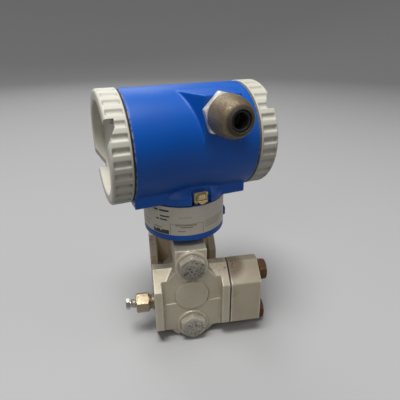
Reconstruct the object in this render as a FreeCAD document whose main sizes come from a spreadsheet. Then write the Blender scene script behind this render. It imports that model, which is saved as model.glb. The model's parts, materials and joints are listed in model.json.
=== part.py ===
import FreeCAD, Part
import os
import Sketcher

# Pressure transmitter, millimetres, +Z up, the front of the process body looks along -Y.
# Every piece is drawn about the neck's axis; the housing's pieces are then turned by housing_yaw,
# and all pieces are moved by origin_y so that the origin is below the middle of the whole.

DIMENSIONS = [
    # place of the neck's axis
    ("origin_y", 4.9),
    # process covers
    ("port_y", 27.0),
    ("port_z", 30.0),
    ("cover_half", 30.0),
    ("flange_front", 45.4),
    ("flange_low", 14.0),
    ("flange_high", 51.2),
    ("flange_top", 63.7),
    ("ridge_half", 3.4),
    ("mate_y", "=port_y * 2 - flange_front"),
    ("end_wall", 6.4),
    ("face_front", 38.8),
    ("apron_front", 39.6),
    ("ledge_z", 35.0),
    ("web_half", 24.0),
    ("web_low", 2.0),
    ("web_knee", 51.8),
    ("block_half", 12.2),
    ("block_knee", 65.7),
    ("block_top", 83.0),
    ("sensor_z", 41.6),
    ("boss_radius", 12.8),
    ("boss_front", 41.0),
    ("disc_radius", 13.5),
    ("disc_front", 40.2),
    ("seat_radius", 13.6),
    ("gasket_wall", 1.2),
    ("gasket_radius", "=seat_radius - gasket_wall"),
    ("gasket_width", 2.4),
    ("gasket_depth", 2.0),
    ("gasket_play", 0.2),
    ("chamber_radius", "=gasket_radius - gasket_width"),
    ("chamber_depth", 4.0),
    ("port_radius", 5.6),
    ("port_depth", 30.0),
    ("link_x", 3.0),
    ("link_rise", 4.0),
    ("link_radius", 2.0),
    # cover bolts and nuts
    ("bolt_rise", 28.2),
    ("bolt_radius", 6.35),
    ("bolt_play", 0.4),
    ("bolt_flat", 19.0),
    ("bolt_head", 4.9),
    ("bolt_tail", 1.3),
    ("bolt_chamfer", 1.0),
    ("nut_thick", 10.1),
    ("nut_play", 0.1),
    # sensor core
    ("core_half", 23.0),
    ("core_knee", 50.9),
    ("core_shoulder", 38.7),
    ("core_waist", 33.0),
    ("core_low", 22.0),
    ("stem_inset", 0.2),
    ("stem_half", "=block_half - stem_inset"),
    ("stem_radius", 15.0),
    ("membrane_inset", 0.4),
    ("membrane_radius", "=chamber_radius - membrane_inset"),
    ("membrane_thick", 0.8),
    # process connector
    ("joint_gap", 0.9),
    ("connector_length", 24.6),
    ("screw_gap", 41.3),
    ("screw_radius", 5.3),
    ("screw_play", 0.5),
    ("screw_hole", "=screw_radius + screw_play"),
    ("screw_flat", 15.9),
    ("screw_head", 5.6),
    ("screw_chamfer", 0.9),
    ("screw_depth", 16.0),
    ("screw_reach", 13.0),
    ("thread_play", 0.1),
    ("washer_radius", 9.0),
    ("washer_thick", 2.5),
    ("inlet_radius", 9.2),
    ("inlet_depth", 17.0),
    ("joint_ring_margin", 1.4),
    ("joint_ring_width", 3.5),
    ("joint_ring_in", "=port_radius + joint_ring_margin"),
    ("joint_ring_out", "=joint_ring_in + joint_ring_width"),
    # vent
    ("vent_flat", 14.5),
    ("vent_chamfer", 0.8),
    ("vent_start", 4.2),
    ("vent_length", 10.4),
    ("vent_neck", 6.4),
    ("vent_thread", 4.6),
    ("vent_depth", 10.0),
    ("vent_bore", 4.1),
    ("vent_play", 0.4),
    ("vent_screw_radius", "=vent_bore - vent_play"),
    ("vent_screw_length", 5.2),
    ("vent_screw_tip", 2.0),
    ("vent_ball", 2.4),
    ("ball_play", 0.2),
    ("vent_bore_depth", "=vent_ball * 2 + vent_screw_tip + ball_play"),
    ("vent_screw_flat", 7.9),
    ("vent_screw_head", 3.2),
    ("plug_key", 3.0),
    ("plug_key_depth", 4.0),
    # neck
    ("ring_low", 87.4),
    ("ring_high", 92.4),
    ("ring_radius", 32.6),
    ("ring_chamfer", 0.7),
    ("neck_radius", 31.8),
    ("neck_top", 116.4),
    ("neck_floor", 6.0),
    ("neck_bore", 21.0),
    ("spigot_radius", 26.0),
    ("spigot_tall", 8.0),
    ("spigot_top", "=neck_top + spigot_tall"),
    ("plate_thick", 0.5),
    ("plate_gap", 0.3),
    ("plate_margin", 0.3),
    ("plate_sweep", 236.0),
    ("plate_start", -238.0),
    ("lug_out", 3.6),
    ("lug_reach", "=neck_radius + lug_out"),
    ("lug_rise", 3.6),
    ("lug_low", "=ring_low + lug_rise"),
    ("lug_tall", 7.0),
    ("lug_near", -0.6),
    ("lug_far", 5.4),
    ("seal_inset", 0.8),
    ("seal_out", "=neck_radius - seal_inset"),
    ("seal_thick", 0.5),
    # housing
    ("housing_yaw", 12.7),
    ("collar_play", 0.1),
    ("collar_low", "=neck_top + seal_thick + collar_play"),
    ("collar_radius", 33.4),
    ("collar_skirt", 5.5),
    ("collar_knee", "=collar_low + collar_skirt"),
    ("collar_top_radius", 27.0),
    ("collar_tall", 17.0),
    ("collar_top", "=collar_low + collar_tall"),
    ("barrel_radius", 40.1),
    ("barrel_half", 45.0),
    ("rail_half", 25.0),
    ("rail_step", 1.3),
    ("rail_low", "=collar_low + rail_step"),
    ("rail_inset", 3.0),
    ("rail_end", "=barrel_half - rail_inset"),
    ("axis_z", "=rail_low + barrel_radius"),
    ("entry_inset", 29.7),
    ("entry_x", "=barrel_half - entry_inset"),
    ("entry_length", 26.5),
    ("entry_left", "=entry_x - entry_length / 2"),
    ("entry_flare", 14.8),
    ("entry_sink", 2.2),
    ("entry_top", "=axis_z + barrel_radius - entry_sink"),
    ("entry_drop", 12.5),
    ("entry_z", "=entry_top - entry_drop"),
    ("entry_radius", 10.0),
    ("rear_entry_sink", 3.8),
    ("rear_entry_top", "=entry_top - rear_entry_sink"),
    ("rear_entry_z", "=rear_entry_top - entry_drop"),
    ("socket_play", 0.4),
    ("socket_radius", "=spigot_radius + socket_play"),
    ("socket_spare", 0.6),
    ("socket_top", "=spigot_top + socket_spare"),
    ("wire_x", -16.0),
    ("wire_radius", 6.0),
    ("barrel_wall", 7.1),
    ("room_radius", "=barrel_radius - barrel_wall"),
    ("thread_step", 2.3),
    ("thread_radius", "=room_radius + thread_step"),
    ("bulkhead_left", -6.0),
    ("bulkhead_right", 2.0),
    # ground clamp
    ("clamp_left", -2.2),
    ("clamp_right", 8.4),
    ("clamp_rise", 0.3),
    ("clamp_low", "=collar_low + clamp_rise"),
    ("clamp_tall", 8.3),
    ("clamp_high", "=clamp_low + clamp_tall"),
    ("clamp_thick", 2.6),
    ("ground_shank", 2.1),
    ("ground_play", 0.2),
    ("clamp_hole", "=ground_shank + ground_play"),
    ("ground_head", 3.8),
    ("ground_tall", 3.0),
    ("ground_slot", 1.0),
    ("slot_side", 2.5),
    ("slot_left", "=clamp_left - slot_side"),
    ("slot_right", "=clamp_right + slot_side"),
    ("slot_back", 28.6),
    ("slot_tall", 11.5),
    ("slot_top", "=collar_low + slot_tall"),
    # covers
    ("lid_gap", 1.3),
    ("lid_proud", 0.4),
    ("lid_radius", "=barrel_radius + lid_proud"),
    ("lid_thick", 14.2),
    ("lid_chamfer", 1.8),
    ("lid_recess", 32.5),
    ("lid_recess_chamfer", 0.8),
    ("lid_recess_depth", 8.0),
    ("lid_floor", 3.2),
    ("lid_play", 0.3),
    ("lid_spigot", "=thread_radius - lid_play"),
    ("lid_spigot_wall", 5.0),
    ("lid_spigot_bore", "=lid_spigot - lid_spigot_wall"),
    ("lid_spigot_length", 12.5),
    ("thread_spare", 2.0),
    ("thread_depth", "=lid_spigot_length + thread_spare"),
    ("flute_count", 30),
    ("flute_radius", 2.6),
    ("flute_out", 1.3),
    ("flute_centre", "=lid_radius + flute_out"),
    ("flute_start", 1.2),
    ("flute_stop", 3.0),
    ("notch_count", 2),
    ("notch_spare", 4.5),
    ("notch_outer", "=lid_radius + notch_spare"),
    ("notch_depth", 6.1),
    ("notch_square", 4.0),
    ("notch_flat", 1.2),
    ("notch_ramp", 11.7),
    ("left_notch", 144.5),
    ("right_notch", 137.5),
    ("ring_seal_play", 0.15),
    ("ring_seal_hole", 0.4),
    ("ring_seal_in", "=lid_spigot + ring_seal_hole"),
    ("ring_seal_inset", 0.9),
    ("ring_seal_out", "=lid_radius - ring_seal_inset"),
    # electronics
    ("module_play", 2.0),
    ("module_radius", "=room_radius - module_play"),
    ("module_gap", 14.0),
    ("module_end", "=module_gap - barrel_half"),
    ("module_step_radius", 24.0),
    ("module_step", 5.0),
    ("module_step_end", "=module_end - module_step"),
    ("terminal_side", 8.0),
    ("terminal_half", "=room_radius - terminal_side"),
    ("terminal_below", 12.6),
    ("terminal_low", "=axis_z - room_radius + terminal_below"),
    ("terminal_above", 21.4),
    ("terminal_high", "=axis_z + room_radius - terminal_above"),
    ("terminal_thick", 14.0),
    ("terminal_step", 8.0),
    ("terminal_tread", 8.0),
    ("terminal_step_low", "=terminal_low + terminal_tread"),
    ("terminal_pitch", 14.0),
    ("terminal_screw_radius", 3.6),
    ("terminal_screw_tall", 2.6),
    # cable gland and plug
    ("gland_flat", 27.0),
    ("gland_chamfer", 1.0),
    ("gland_hex", 4.6),
    ("gland_play", 0.3),
    ("gland_thread", "=entry_radius - gland_play"),
    ("gland_screw", 13.1),
    ("gland_tail", "=barrel_radius - gland_screw"),
    ("gland_bore", 5.6),
    ("gland_spigot", 9.0),
    ("dome_gap", 0.4),
    ("dome_start", "=barrel_radius + gland_hex + dome_gap"),
    ("dome_base", 14.0),
    ("dome_skirt", 7.4),
    ("dome_mid", "=dome_start + dome_skirt"),
    ("dome_mid_radius", 13.5),
    ("dome_shoulder", 7.0),
    ("dome_far", "=dome_mid + dome_shoulder"),
    ("dome_far_radius", 11.4),
    ("dome_lip", 4.5),
    ("dome_edge", "=dome_far + dome_lip"),
    ("dome_edge_radius", 9.0),
    ("dome_rim", 1.4),
    ("dome_end", "=dome_edge + dome_rim"),
    ("dome_rim_radius", 7.8),
    ("dome_play", 0.4),
    ("dome_bore", "=gland_spigot + dome_play"),
    ("dome_bore_depth", 9.3),
    ("dome_bore_end", "=dome_start + dome_bore_depth"),
    ("gland_spigot_end", "=dome_bore_end - dome_play"),
    ("dome_hole", 7.0),
    ("seal_ring_play", 0.3),
    ("seal_ring_out", "=dome_hole - seal_ring_play"),
    ("seal_ring_in", 5.0),
    ("seal_ring_gap", 0.1),
    ("seal_ring_start", "=gland_spigot_end + seal_ring_gap"),
    ("seal_ring_sunk", 0.8),
    ("seal_ring_end", "=dome_end - seal_ring_sunk"),
    ("stopper_key", 10.0),
    ("stopper_key_depth", 6.0),
]

TINY = 1e-9
FULL_TURN = 360.0
QUARTER_TURN = 90.0
ROOT_THREE = 3.0 ** 0.5

doc = FreeCAD.newDocument("pressure_transmitter")
sheet = doc.addObject("Spreadsheet::Sheet", "dims")


class Size:
    """A dimension: its value and the expression that drives it."""

    def __init__(self, value, text):
        self.value = float(value)
        self.text = text

    @staticmethod
    def of(other):
        """Give a plain number the same form."""
        if isinstance(other, Size):
            return other
        return Size(other, repr(float(other)))

    def joined(self, other, sign, value):
        return Size(value, "(%s %s %s)" % (self.text, sign, other.text))

    def __add__(self, other):
        other = Size.of(other)
        return self.joined(other, "+", self.value + other.value)

    def __sub__(self, other):
        other = Size.of(other)
        return self.joined(other, "-", self.value - other.value)

    def __mul__(self, other):
        other = Size.of(other)
        return self.joined(other, "*", self.value * other.value)

    def __truediv__(self, other):
        other = Size.of(other)
        return self.joined(other, "/", self.value / other.value)

    def __neg__(self):
        return Size(-self.value, "(0 - %s)" % self.text)


class Dimensions:
    """The sheet's rows, each read as a Size by its alias."""

    def __init__(self, rows):
        for number, (name, value) in enumerate(rows, start=1):
            cell = "B%d" % number
            sheet.set("A%d" % number, name)
            sheet.set(cell, str(value))
            sheet.setAlias(cell, name)
        doc.recompute()
        self.sizes = {name: Size(sheet.get(name), "dims.%s" % name) for name, _ in rows}

    def __getattr__(self, name):
        return self.sizes[name]


D = Dimensions(DIMENSIONS)
ZERO = Size(0.0, "0")

NODES = {}


def node(name, item):
    """Name an object's file."""
    item.Label = name
    NODES[name] = item
    return item


def new_body(name, spin=0.0):
    """A body about the neck's axis, turned by spin degrees."""
    body = doc.addObject("PartDesign::Body", name)
    turn = FreeCAD.Rotation(FreeCAD.Vector(0, 0, 1), spin)
    body.Placement = FreeCAD.Placement(FreeCAD.Vector(0, D.origin_y.value, 0), turn)
    return body


def housing_piece(name):
    """A body that is turned with the housing."""
    return new_body(name, D.housing_yaw.value)


def sketch_on(body, role, offset=None, lift=None, turn=None, tilt=None):
    """A sketch on one of the body's origin planes, shifted along its normal and up.

    It is turned about its normal or tilted about its own first axis.
    """
    sketch = body.newObject("Sketcher::SketchObject", "sketch")
    plane = [item for item in body.Origin.OriginFeatures if item.Role == role][0]
    sketch.AttachmentSupport = (plane, [""])
    sketch.MapMode = "FlatFace"
    axis = FreeCAD.Vector(1, 0, 0) if tilt else FreeCAD.Vector(0, 0, 1)
    angle = tilt or turn or ZERO
    spin = FreeCAD.Rotation(axis, angle.value)
    base = FreeCAD.Vector(0, lift.value if lift else 0.0, offset.value if offset else 0.0)
    sketch.AttachmentOffset = FreeCAD.Placement(base, spin)
    if offset:
        sketch.setExpression("AttachmentOffset.Base.z", offset.text)
    if lift:
        sketch.setExpression("AttachmentOffset.Base.y", lift.text)
    if tilt or turn:
        sketch.setExpression("AttachmentOffset.Rotation.Angle", angle.text)
    return sketch


def pin(sketch, geometry, point, across, up):
    """Hold one point of a sketch at its two driven coordinates."""
    for kind, axis, size in (("DistanceX", -2, across), ("DistanceY", -1, up)):
        if abs(size.value) < TINY:
            sketch.addConstraint(Sketcher.Constraint("PointOnObject", geometry, point, axis))
            continue
        index = sketch.addConstraint(Sketcher.Constraint(kind, -1, 1, geometry, point, size.value))
        sketch.setExpression("Constraints[%d]" % index, size.text)


def polygon(sketch, points):
    """A closed outline through driven points."""
    first = sketch.GeometryCount
    count = len(points)
    corners = [FreeCAD.Vector(across.value, up.value, 0) for across, up in points]
    for i in range(count):
        sketch.addGeometry(Part.LineSegment(corners[i], corners[(i + 1) % count]), False)
    for i in range(count):
        sketch.addConstraint(Sketcher.Constraint("Coincident", first + i, 2, first + (i + 1) % count, 1))
    for i, (across, up) in enumerate(points):
        pin(sketch, first + i, 1, across, up)


def rectangle(sketch, left, low, right, high):
    """A closed rectangle between driven sides."""
    polygon(sketch, [(left, low), (right, low), (right, high), (left, high)])


def circle(sketch, across, up, radius):
    """A circle with a driven centre and radius."""
    centre = FreeCAD.Vector(across.value, up.value, 0)
    index = sketch.addGeometry(Part.Circle(centre, FreeCAD.Vector(0, 0, 1), radius.value), False)
    rule = sketch.addConstraint(Sketcher.Constraint("Radius", index, radius.value))
    sketch.setExpression("Constraints[%d]" % rule, radius.text)
    pin(sketch, index, 3, across, up)


def hexagon(sketch, across, up, flat, pointed=False):
    """A regular hexagon by its size across flats, its corners up and down when pointed."""
    half = flat / 2
    corner = flat / ROOT_THREE
    side = corner / 2
    if pointed:
        points = [(half, side), (ZERO, corner), (-half, side), (-half, -side), (ZERO, -corner), (half, -side)]
    else:
        points = [(corner, ZERO), (side, half), (-side, half), (-corner, ZERO), (-side, -half), (side, -half)]
    polygon(sketch, [(across + x, up + y) for x, y in points])


def solid(body, kind, sketch, length=None, back=False, both=False, through=False):
    """A pad or pocket of a sketch with a driven length."""
    feature = body.newObject("PartDesign::" + kind, kind.lower())
    feature.Profile = (sketch, [""])
    sketch.Visibility = False
    if through:
        feature.Type = "ThroughAll"
    else:
        feature.Length = length.value
        feature.setExpression("Length", length.text)
    if both:
        feature.SideType = "Symmetric"
    feature.Reversed = back
    return feature


def pad(body, sketch, length, back=False, both=False):
    return solid(body, "Pad", sketch, length, back, both)


def pocket(body, sketch, length=None, back=False, through=False):
    return solid(body, "Pocket", sketch, length, back, False, through)


def turned(body, sketch, axis="H_Axis", angle=None):
    """A revolution of a sketch about one of its own axes."""
    feature = body.newObject("PartDesign::Revolution", "turned")
    feature.Profile = (sketch, [""])
    feature.ReferenceAxis = (sketch, [axis])
    feature.Angle = angle.value if angle else FULL_TURN
    if angle:
        feature.setExpression("Angle", angle.text)
    sketch.Visibility = False
    return feature


def ring_of(body, feature, sketch, axis, count):
    """Repeat a feature evenly round one of its sketch's axes."""
    doc.recompute()
    ring = body.newObject("PartDesign::PolarPattern", "ring")
    ring.Originals = [feature]
    ring.Axis = (sketch, [axis])
    ring.Angle = FULL_TURN
    ring.setExpression("Occurrences", count.text)
    body.Tip = ring


def crown(body, sketch, face, way, flat, chamfer):
    """Turn the corners of a hexagon off at its outer face, which looks along way."""
    corner = flat / ROOT_THREE + chamfer
    polygon(sketch, [
        (face, flat / 2 - chamfer / 2), (face, corner), (face - chamfer * 2 * way, corner),
    ])
    groove = body.newObject("PartDesign::Groove", "crown")
    groove.Profile = (sketch, [""])
    groove.ReferenceAxis = (sketch, ["H_Axis"])
    groove.Angle = FULL_TURN
    sketch.Visibility = False
    return groove


def group(name, items):
    """Several separate solids under one name."""
    whole = doc.addObject("Part::Compound", name)
    whole.Links = items
    return node(name, whole)


def flange_outline(sketch, side):
    """The flange's section: two flats with sloped flanks up and down to narrow crests."""
    crest_out = D.port_y + D.ridge_half
    crest_in = D.port_y - D.ridge_half
    points = [
        (crest_in, D.flange_top), (crest_out, D.flange_top),
        (D.flange_front, D.flange_high), (D.flange_front, D.flange_low),
        (crest_out, ZERO), (crest_in, ZERO),
        (D.mate_y, D.flange_low), (D.mate_y, D.flange_high),
    ]
    polygon(sketch, [(y * -side, z) for y, z in points])


def process_cover(name, side):
    """A cast cover with its port; side is 1 for the front one and -1 for the rear one."""
    body = new_body(name)
    front = side > 0

    def facing(distance):
        return sketch_on(body, "XZ_Plane", distance * side)

    sketch = sketch_on(body, "YZ_Plane")
    flange_outline(sketch, side)
    pad(body, sketch, D.cover_half * 2, both=True)

    # the open back between the end walls, with the block and the round seat left standing in it
    inner_half = D.cover_half - D.end_wall
    back_wall = D.port_y - D.ridge_half
    sketch = facing(D.mate_y)
    rectangle(sketch, -inner_half, -D.flange_low, inner_half, D.block_top)
    pocket(body, sketch, back_wall - D.mate_y, back=front)
    sketch = facing(D.mate_y)
    rectangle(sketch, -D.block_half, D.sensor_z, D.block_half, D.block_top)
    pad(body, sketch, D.port_y - D.mate_y, back=not front)
    sketch = facing(D.mate_y)
    circle(sketch, ZERO, D.sensor_z, D.seat_radius)
    pad(body, sketch, D.port_y - D.mate_y, back=not front)

    # the web between the end walls and the block above it
    sketch = facing(back_wall)
    half, knee = D.web_half, D.web_knee
    polygon(sketch, [
        (-D.block_half, D.block_top), (-D.block_half, D.block_knee), (-half, knee), (-half, D.flange_low),
        (-D.block_half, D.web_low), (D.block_half, D.web_low), (half, D.flange_low), (half, knee),
        (D.block_half, D.block_knee), (D.block_half, D.block_top),
    ])
    pad(body, sketch, D.face_front - back_wall, back=not front)

    sketch = facing(D.flange_front)
    rectangle(sketch, -inner_half, D.ledge_z, inner_half, D.block_top)
    pocket(body, sketch, D.flange_front - D.face_front, back=not front)
    sketch = facing(D.flange_front)
    rectangle(sketch, -inner_half, -D.flange_low, inner_half, D.ledge_z)
    pocket(body, sketch, D.flange_front - D.apron_front, back=not front)

    sketch = facing(D.mate_y)
    for rise in (D.bolt_rise, -D.bolt_rise):
        circle(sketch, ZERO, D.sensor_z + rise, D.boss_radius)
    pad(body, sketch, D.boss_front - D.mate_y, back=not front)
    sketch = facing(D.port_y)
    circle(sketch, ZERO, D.sensor_z, D.disc_radius)
    pad(body, sketch, D.disc_front - D.port_y, back=not front)

    sketch = facing(D.flange_front)
    for rise in (D.bolt_rise, -D.bolt_rise):
        circle(sketch, ZERO, D.sensor_z + rise, D.bolt_radius + D.bolt_play)
    pocket(body, sketch, back=not front, through=True)

    for radius, depth in ((D.chamber_radius, D.chamber_depth), (D.gasket_radius, D.gasket_depth)):
        sketch = facing(D.mate_y)
        circle(sketch, ZERO, D.sensor_z, radius)
        pocket(body, sketch, depth, back=front)
    sketch = facing(D.mate_y)
    circle(sketch, D.link_x, D.port_z + D.link_rise, D.link_radius)
    pocket(body, sketch, D.port_y - D.mate_y, back=front)

    port = D.port_y * -side
    sketch = sketch_on(body, "YZ_Plane", D.cover_half)
    circle(sketch, port, D.port_z, D.port_radius)
    pocket(body, sketch, D.port_depth)
    sketch = sketch_on(body, "YZ_Plane", D.cover_half)
    for rise in (D.screw_gap / 2, -D.screw_gap / 2):
        circle(sketch, port, D.port_z + rise, D.screw_radius + D.thread_play)
    pocket(body, sketch, D.screw_depth)
    sketch = sketch_on(body, "YZ_Plane", -D.cover_half)
    circle(sketch, port, D.port_z, D.vent_thread)
    pocket(body, sketch, D.vent_depth, back=True)
    return node(name, body)


def sensor_core():
    """The sensor's shouldered body with the stem that carries the neck."""
    body = new_body("sensor_core")
    sketch = sketch_on(body, "XZ_Plane")
    right = [
        (D.stem_half, D.core_low), (D.core_half, D.core_waist), (D.core_half, D.core_shoulder),
        (D.stem_half, D.core_knee), (D.stem_half, D.block_top),
    ]
    polygon(sketch, right + [(-x, z) for x, z in reversed(right)])
    pad(body, sketch, D.mate_y * 2, both=True)
    sketch = sketch_on(body, "XY_Plane", D.block_top)
    circle(sketch, ZERO, ZERO, D.stem_radius)
    pad(body, sketch, D.ring_low - D.block_top)
    sketch = sketch_on(body, "XZ_Plane", D.mate_y)
    circle(sketch, ZERO, D.sensor_z + D.bolt_rise, D.bolt_radius + D.bolt_play)
    pocket(body, sketch, through=True)
    for side in (1, -1):
        sketch = sketch_on(body, "XZ_Plane", D.mate_y * side)
        circle(sketch, ZERO, D.sensor_z, D.membrane_radius)
        pocket(body, sketch, D.membrane_thick, back=side < 0)
    return node("sensor_core", body)


def cover_gasket(name, side):
    """A flat ring in the cover's seat."""
    body = new_body(name)
    sketch = sketch_on(body, "XZ_Plane", D.mate_y * side)
    circle(sketch, ZERO, D.sensor_z, D.gasket_radius - D.gasket_play)
    circle(sketch, ZERO, D.sensor_z, D.chamber_radius)
    pad(body, sketch, D.gasket_depth, back=side < 0)
    return node(name, body)


def membrane(side):
    """One isolating diaphragm, flush with the core's face."""
    body = new_body("membrane")
    sketch = sketch_on(body, "XZ_Plane", D.mate_y * side)
    circle(sketch, ZERO, D.sensor_z, D.membrane_radius)
    pad(body, sketch, D.membrane_thick, back=side > 0)
    return body


def cover_bolt(rise):
    """A bolt through both covers, its head at the front."""
    body = new_body("cover_bolt")
    height = D.sensor_z + rise
    sketch = sketch_on(body, "XZ_Plane", D.boss_front)
    hexagon(sketch, ZERO, height, D.bolt_flat, pointed=True)
    pad(body, sketch, D.bolt_head)
    sketch = sketch_on(body, "XZ_Plane", D.boss_front)
    circle(sketch, ZERO, height, D.bolt_radius)
    pad(body, sketch, D.boss_front * 2 + D.nut_thick + D.bolt_tail, back=True)
    sketch = sketch_on(body, "YZ_Plane", None, height)
    crown(body, sketch, -D.boss_front - D.bolt_head, -1, D.bolt_flat, D.bolt_chamfer)
    return body


def cover_nut(rise):
    """A nut on the rear cover."""
    body = new_body("cover_nut")
    sketch = sketch_on(body, "XZ_Plane", -D.boss_front)
    hexagon(sketch, ZERO, D.sensor_z + rise, D.bolt_flat, pointed=True)
    circle(sketch, ZERO, D.sensor_z + rise, D.bolt_radius + D.nut_play)
    pad(body, sketch, D.nut_thick, back=True)
    sketch = sketch_on(body, "YZ_Plane", None, D.sensor_z + rise)
    crown(body, sketch, D.boss_front + D.nut_thick, 1, D.bolt_flat, D.bolt_chamfer)
    return body


def process_connector():
    """The bolted-on connector block with its inlet."""
    body = new_body("process_connector")
    start = D.cover_half + D.joint_gap
    sketch = sketch_on(body, "YZ_Plane", start)
    flange_outline(sketch, 1)
    pad(body, sketch, D.connector_length)
    end = start + D.connector_length
    sketch = sketch_on(body, "YZ_Plane", end)
    circle(sketch, -D.port_y, D.port_z, D.port_radius)
    pocket(body, sketch, through=True)
    sketch = sketch_on(body, "YZ_Plane", end)
    circle(sketch, -D.port_y, D.port_z, D.inlet_radius)
    pocket(body, sketch, D.inlet_depth)
    sketch = sketch_on(body, "YZ_Plane", end)
    for rise in (D.screw_gap / 2, -D.screw_gap / 2):
        circle(sketch, -D.port_y, D.port_z + rise, D.screw_hole)
    pocket(body, sketch, through=True)
    return node("process_connector", body)


def connector_gasket():
    """The ring between cover and connector."""
    body = new_body("connector_gasket")
    sketch = sketch_on(body, "YZ_Plane", D.cover_half)
    circle(sketch, -D.port_y, D.port_z, D.joint_ring_out)
    circle(sketch, -D.port_y, D.port_z, D.joint_ring_in)
    pad(body, sketch, D.joint_gap)
    return node("connector_gasket", body)


def connector_bolt(rise):
    """A bolt of the connector with its hexagon head outside."""
    body = new_body("connector_bolt")
    face = D.cover_half + D.joint_gap + D.connector_length + D.washer_thick
    sketch = sketch_on(body, "YZ_Plane", face)
    hexagon(sketch, -D.port_y, D.port_z + rise, D.screw_flat, pointed=True)
    pad(body, sketch, D.screw_head)
    sketch = sketch_on(body, "YZ_Plane", face)
    circle(sketch, -D.port_y, D.port_z + rise, D.screw_radius)
    pad(body, sketch, face - D.cover_half + D.screw_reach, back=True)
    sketch = sketch_on(body, "XZ_Plane", D.port_y, D.port_z + rise)
    crown(body, sketch, face + D.screw_head, 1, D.screw_flat, D.screw_chamfer)
    return body


def connector_washer(rise):
    """The washer under one connector bolt."""
    body = new_body("connector_washer")
    sketch = sketch_on(body, "YZ_Plane", D.cover_half + D.joint_gap + D.connector_length)
    circle(sketch, -D.port_y, D.port_z + rise, D.washer_radius)
    circle(sketch, -D.port_y, D.port_z + rise, D.screw_radius + D.thread_play)
    pad(body, sketch, D.washer_thick)
    return body


def vent_body():
    """The hexagon vent fitting in the front cover's left end."""
    body = new_body("vent_body")
    root = -D.cover_half
    hex_start = root - D.vent_start
    sketch = sketch_on(body, "YZ_Plane", hex_start)
    hexagon(sketch, -D.port_y, D.port_z, D.vent_flat, pointed=True)
    pad(body, sketch, D.vent_length, back=True)
    for face, way in ((hex_start - D.vent_length, -1), (hex_start, 1)):
        sketch = sketch_on(body, "XZ_Plane", D.port_y, D.port_z)
        crown(body, sketch, face, way, D.vent_flat, D.vent_chamfer)
    sketch = sketch_on(body, "YZ_Plane", root)
    circle(sketch, -D.port_y, D.port_z, D.vent_neck)
    pad(body, sketch, D.vent_start, back=True)
    sketch = sketch_on(body, "YZ_Plane", root)
    circle(sketch, -D.port_y, D.port_z, D.vent_thread - D.thread_play)
    pad(body, sketch, D.vent_depth)
    sketch = sketch_on(body, "YZ_Plane", hex_start - D.vent_length)
    circle(sketch, -D.port_y, D.port_z, D.vent_bore)
    pocket(body, sketch, D.vent_bore_depth, back=True)
    return node("vent_body", body)


def vent_screw():
    """The bleed screw in the vent body."""
    body = new_body("vent_screw")
    face = -D.cover_half - D.vent_start - D.vent_length
    sketch = sketch_on(body, "YZ_Plane", face)
    circle(sketch, -D.port_y, D.port_z, D.vent_screw_radius)
    pad(body, sketch, D.vent_screw_length, back=True)
    sketch = sketch_on(body, "YZ_Plane", face)
    circle(sketch, -D.port_y, D.port_z, D.vent_screw_radius)
    pad(body, sketch, D.vent_screw_tip)
    sketch = sketch_on(body, "YZ_Plane", face - D.vent_screw_length)
    hexagon(sketch, -D.port_y, D.port_z, D.vent_screw_flat)
    pad(body, sketch, D.vent_screw_head, back=True)
    return node("vent_screw", body)


def vent_ball():
    """The ball that the bleed screw presses onto its seat."""
    body = new_body("vent_ball")
    seat = -D.cover_half - D.vent_start - D.vent_length + D.vent_bore_depth
    ball = body.newObject("PartDesign::AdditiveSphere", "ball")
    ball.setExpression("Radius", D.vent_ball.text)
    ball.Radius = D.vent_ball.value
    plane = [item for item in body.Origin.OriginFeatures if item.Role == "XY_Plane"][0]
    ball.AttachmentSupport = (plane, [""])
    ball.MapMode = "FlatFace"
    place = (seat - D.vent_ball, -D.port_y, D.port_z)
    ball.AttachmentOffset = FreeCAD.Placement(FreeCAD.Vector(*[size.value for size in place]), FreeCAD.Rotation())
    for axis, size in zip("xyz", place):
        ball.setExpression("AttachmentOffset.Base." + axis, size.text)
    return node("vent_ball", body)


def rear_vent_plug():
    """A flush socket plug in the rear cover's left end."""
    body = new_body("rear_vent_plug")
    sketch = sketch_on(body, "YZ_Plane", -D.cover_half)
    circle(sketch, D.port_y, D.port_z, D.vent_thread - D.thread_play)
    pad(body, sketch, D.vent_depth)
    sketch = sketch_on(body, "YZ_Plane", -D.cover_half)
    hexagon(sketch, D.port_y, D.port_z, D.plug_key * 2)
    pocket(body, sketch, D.plug_key_depth, back=True)
    return node("rear_vent_plug", body)


def neck():
    """The fixed neck: a cup with a bottom ring, a spigot for the housing and a lug."""
    body = new_body("neck")
    sketch = sketch_on(body, "XZ_Plane")
    polygon(sketch, [
        (ZERO, D.ring_low), (D.ring_radius - D.ring_chamfer, D.ring_low),
        (D.ring_radius, D.ring_low + D.ring_chamfer), (D.ring_radius, D.ring_high),
        (D.neck_radius, D.ring_high), (D.neck_radius, D.neck_top), (D.spigot_radius, D.neck_top),
        (D.spigot_radius, D.spigot_top), (D.neck_bore, D.spigot_top),
        (D.neck_bore, D.ring_low + D.neck_floor), (ZERO, D.ring_low + D.neck_floor),
    ])
    turned(body, sketch, "V_Axis")
    sketch = sketch_on(body, "XY_Plane", D.lug_low)
    rectangle(sketch, D.spigot_radius, D.lug_near, D.lug_reach, D.lug_far)
    pad(body, sketch, D.lug_tall)
    return node("neck", body)


def nameplate():
    """A thin plate bent round the front of the neck."""
    body = new_body("nameplate", D.plate_start.value)
    sketch = sketch_on(body, "XZ_Plane")
    inner = D.neck_radius + D.plate_gap
    rectangle(sketch, inner, D.ring_high + D.plate_margin, inner + D.plate_thick, D.neck_top - D.plate_margin)
    turned(body, sketch, "V_Axis", D.plate_sweep)
    return node("nameplate", body)


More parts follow.
